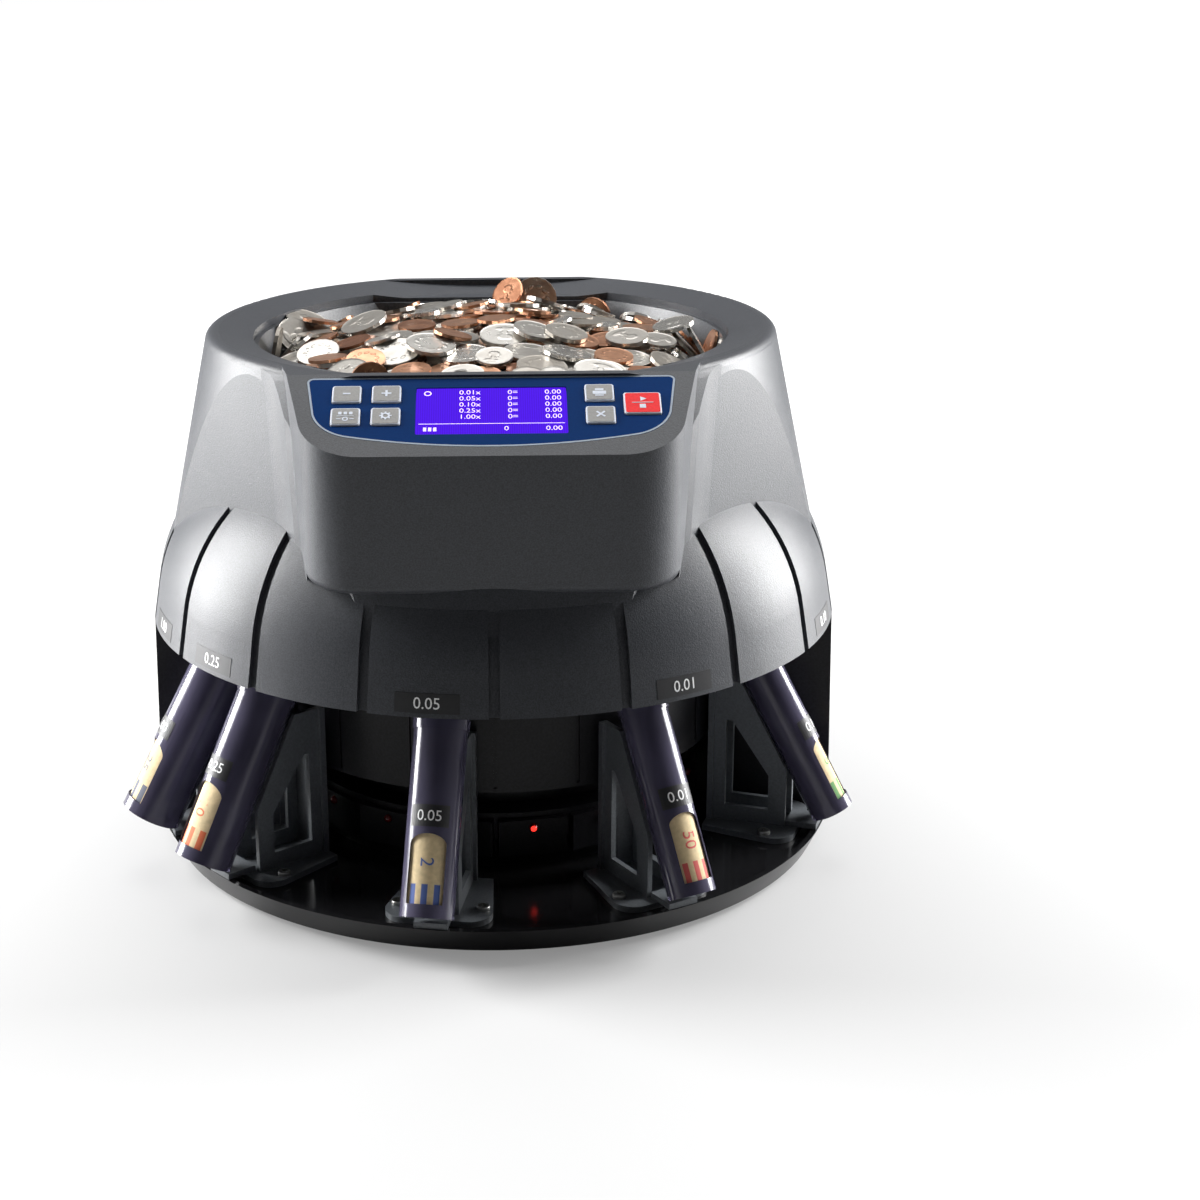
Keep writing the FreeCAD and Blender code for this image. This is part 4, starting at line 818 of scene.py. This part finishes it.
def startPlaces():
    rng = random.Random(heap["seed"])
    jitter, topple = heap["jitter"], heap["topple"]
    picks = [k for k in coinKinds for _ in range(k[3])]
    places = []
    rows = int(heap["reach"] / heap["pitch"]) + 1
    for layer in range(heap["layers"]):
        for row in range(-rows, rows + 1):
            for col in range(-rows - 1, rows + 2):
                x = (col + 0.5 * ((row + layer) % 2)) * heap["pitch"] + rng.uniform(-jitter, jitter)
                y = row * heap["pitch"] * 0.87 + rng.uniform(-jitter, jitter)
                kind = rng.choice(picks)
                if math.hypot(x, y) > heap["reach"] - kind[1]:
                    continue
                lift = heapFloor(x, y) + heap["firstDrop"] + heap["dropGap"] * layer + rng.uniform(0, 3)
                tilt = Vector((rng.gauss(0, topple), rng.gauss(0, topple), 1)).normalized()
                if rng.random() < 0.5:
                    tilt = -tilt
                spin = Matrix.Rotation(rng.uniform(0, 6.28), 3, "Z")
                turn = tilt.to_track_quat("Z", "Y").to_matrix() @ spin
                places.append((kind, Vector((x, y + heap["back"], lift)) * mm + axis, turn, rng.random()))
    return places


def settle(places, meshes):
    # drops the coins on the false floor inside the hopper, at a larger scale that suits the solver
    scene = bpy.context.scene
    k = heap["scale"]
    bpy.ops.rigidbody.world_add()
    pile = bpy.data.collections.new("pile")
    scene.collection.children.link(pile)
    solver = scene.rigidbody_world
    solver.collection = pile
    solver.substeps_per_frame = 8
    solver.solver_iterations = 12
    solver.point_cache.frame_end = heap["frames"]
    temporary = []

    def addBody(mesh, kind, shape, matrix):
        body = bpy.data.objects.new("simBody", mesh)
        pile.objects.link(body)
        body.matrix_world = matrix
        body.rigid_body.type = kind
        body.rigid_body.collision_shape = shape
        body.rigid_body.use_margin = True
        body.rigid_body.collision_margin = 0.002
        body.rigid_body.friction = 0.7
        body.rigid_body.restitution = 0.05
        body.rigid_body.linear_damping = 0.15
        body.rigid_body.angular_damping = 0.35
        temporary.append(body)
        return body

    wall = nodes["hopper_bowl"].data.copy()
    wall.transform(Matrix.Scale(k, 4))
    addBody(wall, "PASSIVE", "MESH", Matrix.Identity(4))
    bm = bmesh.new()
    bmesh.ops.create_grid(bm, x_segments=24, y_segments=24, size=heap["reach"] + 30)
    for v in bm.verts:
        v.co = (Vector((v.co.x, v.co.y + heap["back"], heapFloor(v.co.x, v.co.y))) * mm + axis) * k
    ground = bpy.data.meshes.new("falseFloor")
    bm.to_mesh(ground)
    bm.free()
    addBody(ground, "PASSIVE", "MESH", Matrix.Identity(4))
    big = {}
    for name, mesh in meshes.items():
        big[name] = mesh.copy()
        big[name].transform(Matrix.Scale(k, 4))
    coins = [addBody(big[kind[0]], "ACTIVE", "CONVEX_HULL", Matrix.Translation(spot * k) @ turn.to_4x4())
             for kind, spot, turn, tone in places]
    for step in range(1, heap["frames"] + 1):
        scene.frame_set(step)
    graph = bpy.context.evaluated_depsgraph_get()
    rested = []
    for (kind, spot, turn, tone), body in zip(places, coins):
        at = body.evaluated_get(graph).matrix_world
        rested.append((kind, at.to_translation() / k, at.to_3x3().normalized(), tone))
    bpy.ops.rigidbody.world_remove()
    for body in temporary:
        bpy.data.objects.remove(body)
    bpy.data.collections.remove(pile)
    scene.frame_set(1)
    return rested


def makeHeap():
    meshes = {kind[0]: coinMesh(kind[1], kind[2]) for kind in coinKinds}
    places = startPlaces()
    placed = settle(places, meshes)
    middle = axis + Vector((0, heap["back"] * mm, 0))
    inside = [p for p in placed if (p[1] - middle).to_2d().length < heap["keepReach"]
              and heap["keepLow"] < p[1].z < heap["keepHigh"]]
    print("coins in the heap:", len(inside), "of", len(placed), "highest", max(p[1].z for p in inside))
    for metalName, *finish in coinMetals:
        mat = coinMaterial(*finish)
        bm = bmesh.new()
        toneLayer = bm.verts.layers.float.new("tone")
        for kind, spot, turn, tone in inside:
            if kind[4] != metalName:
                continue
            single = meshes[kind[0]].copy()
            single.transform(Matrix.Translation(spot) @ turn.to_4x4())
            before = len(bm.verts)
            bm.from_mesh(single)
            bm.verts.ensure_lookup_table()
            for v in bm.verts[before:]:
                v[toneLayer] = tone
            bpy.data.meshes.remove(single)
        keepPiece(bm, "coins_" + metalName, mat, "chassis")


makeHeap()
print("hopper filled")
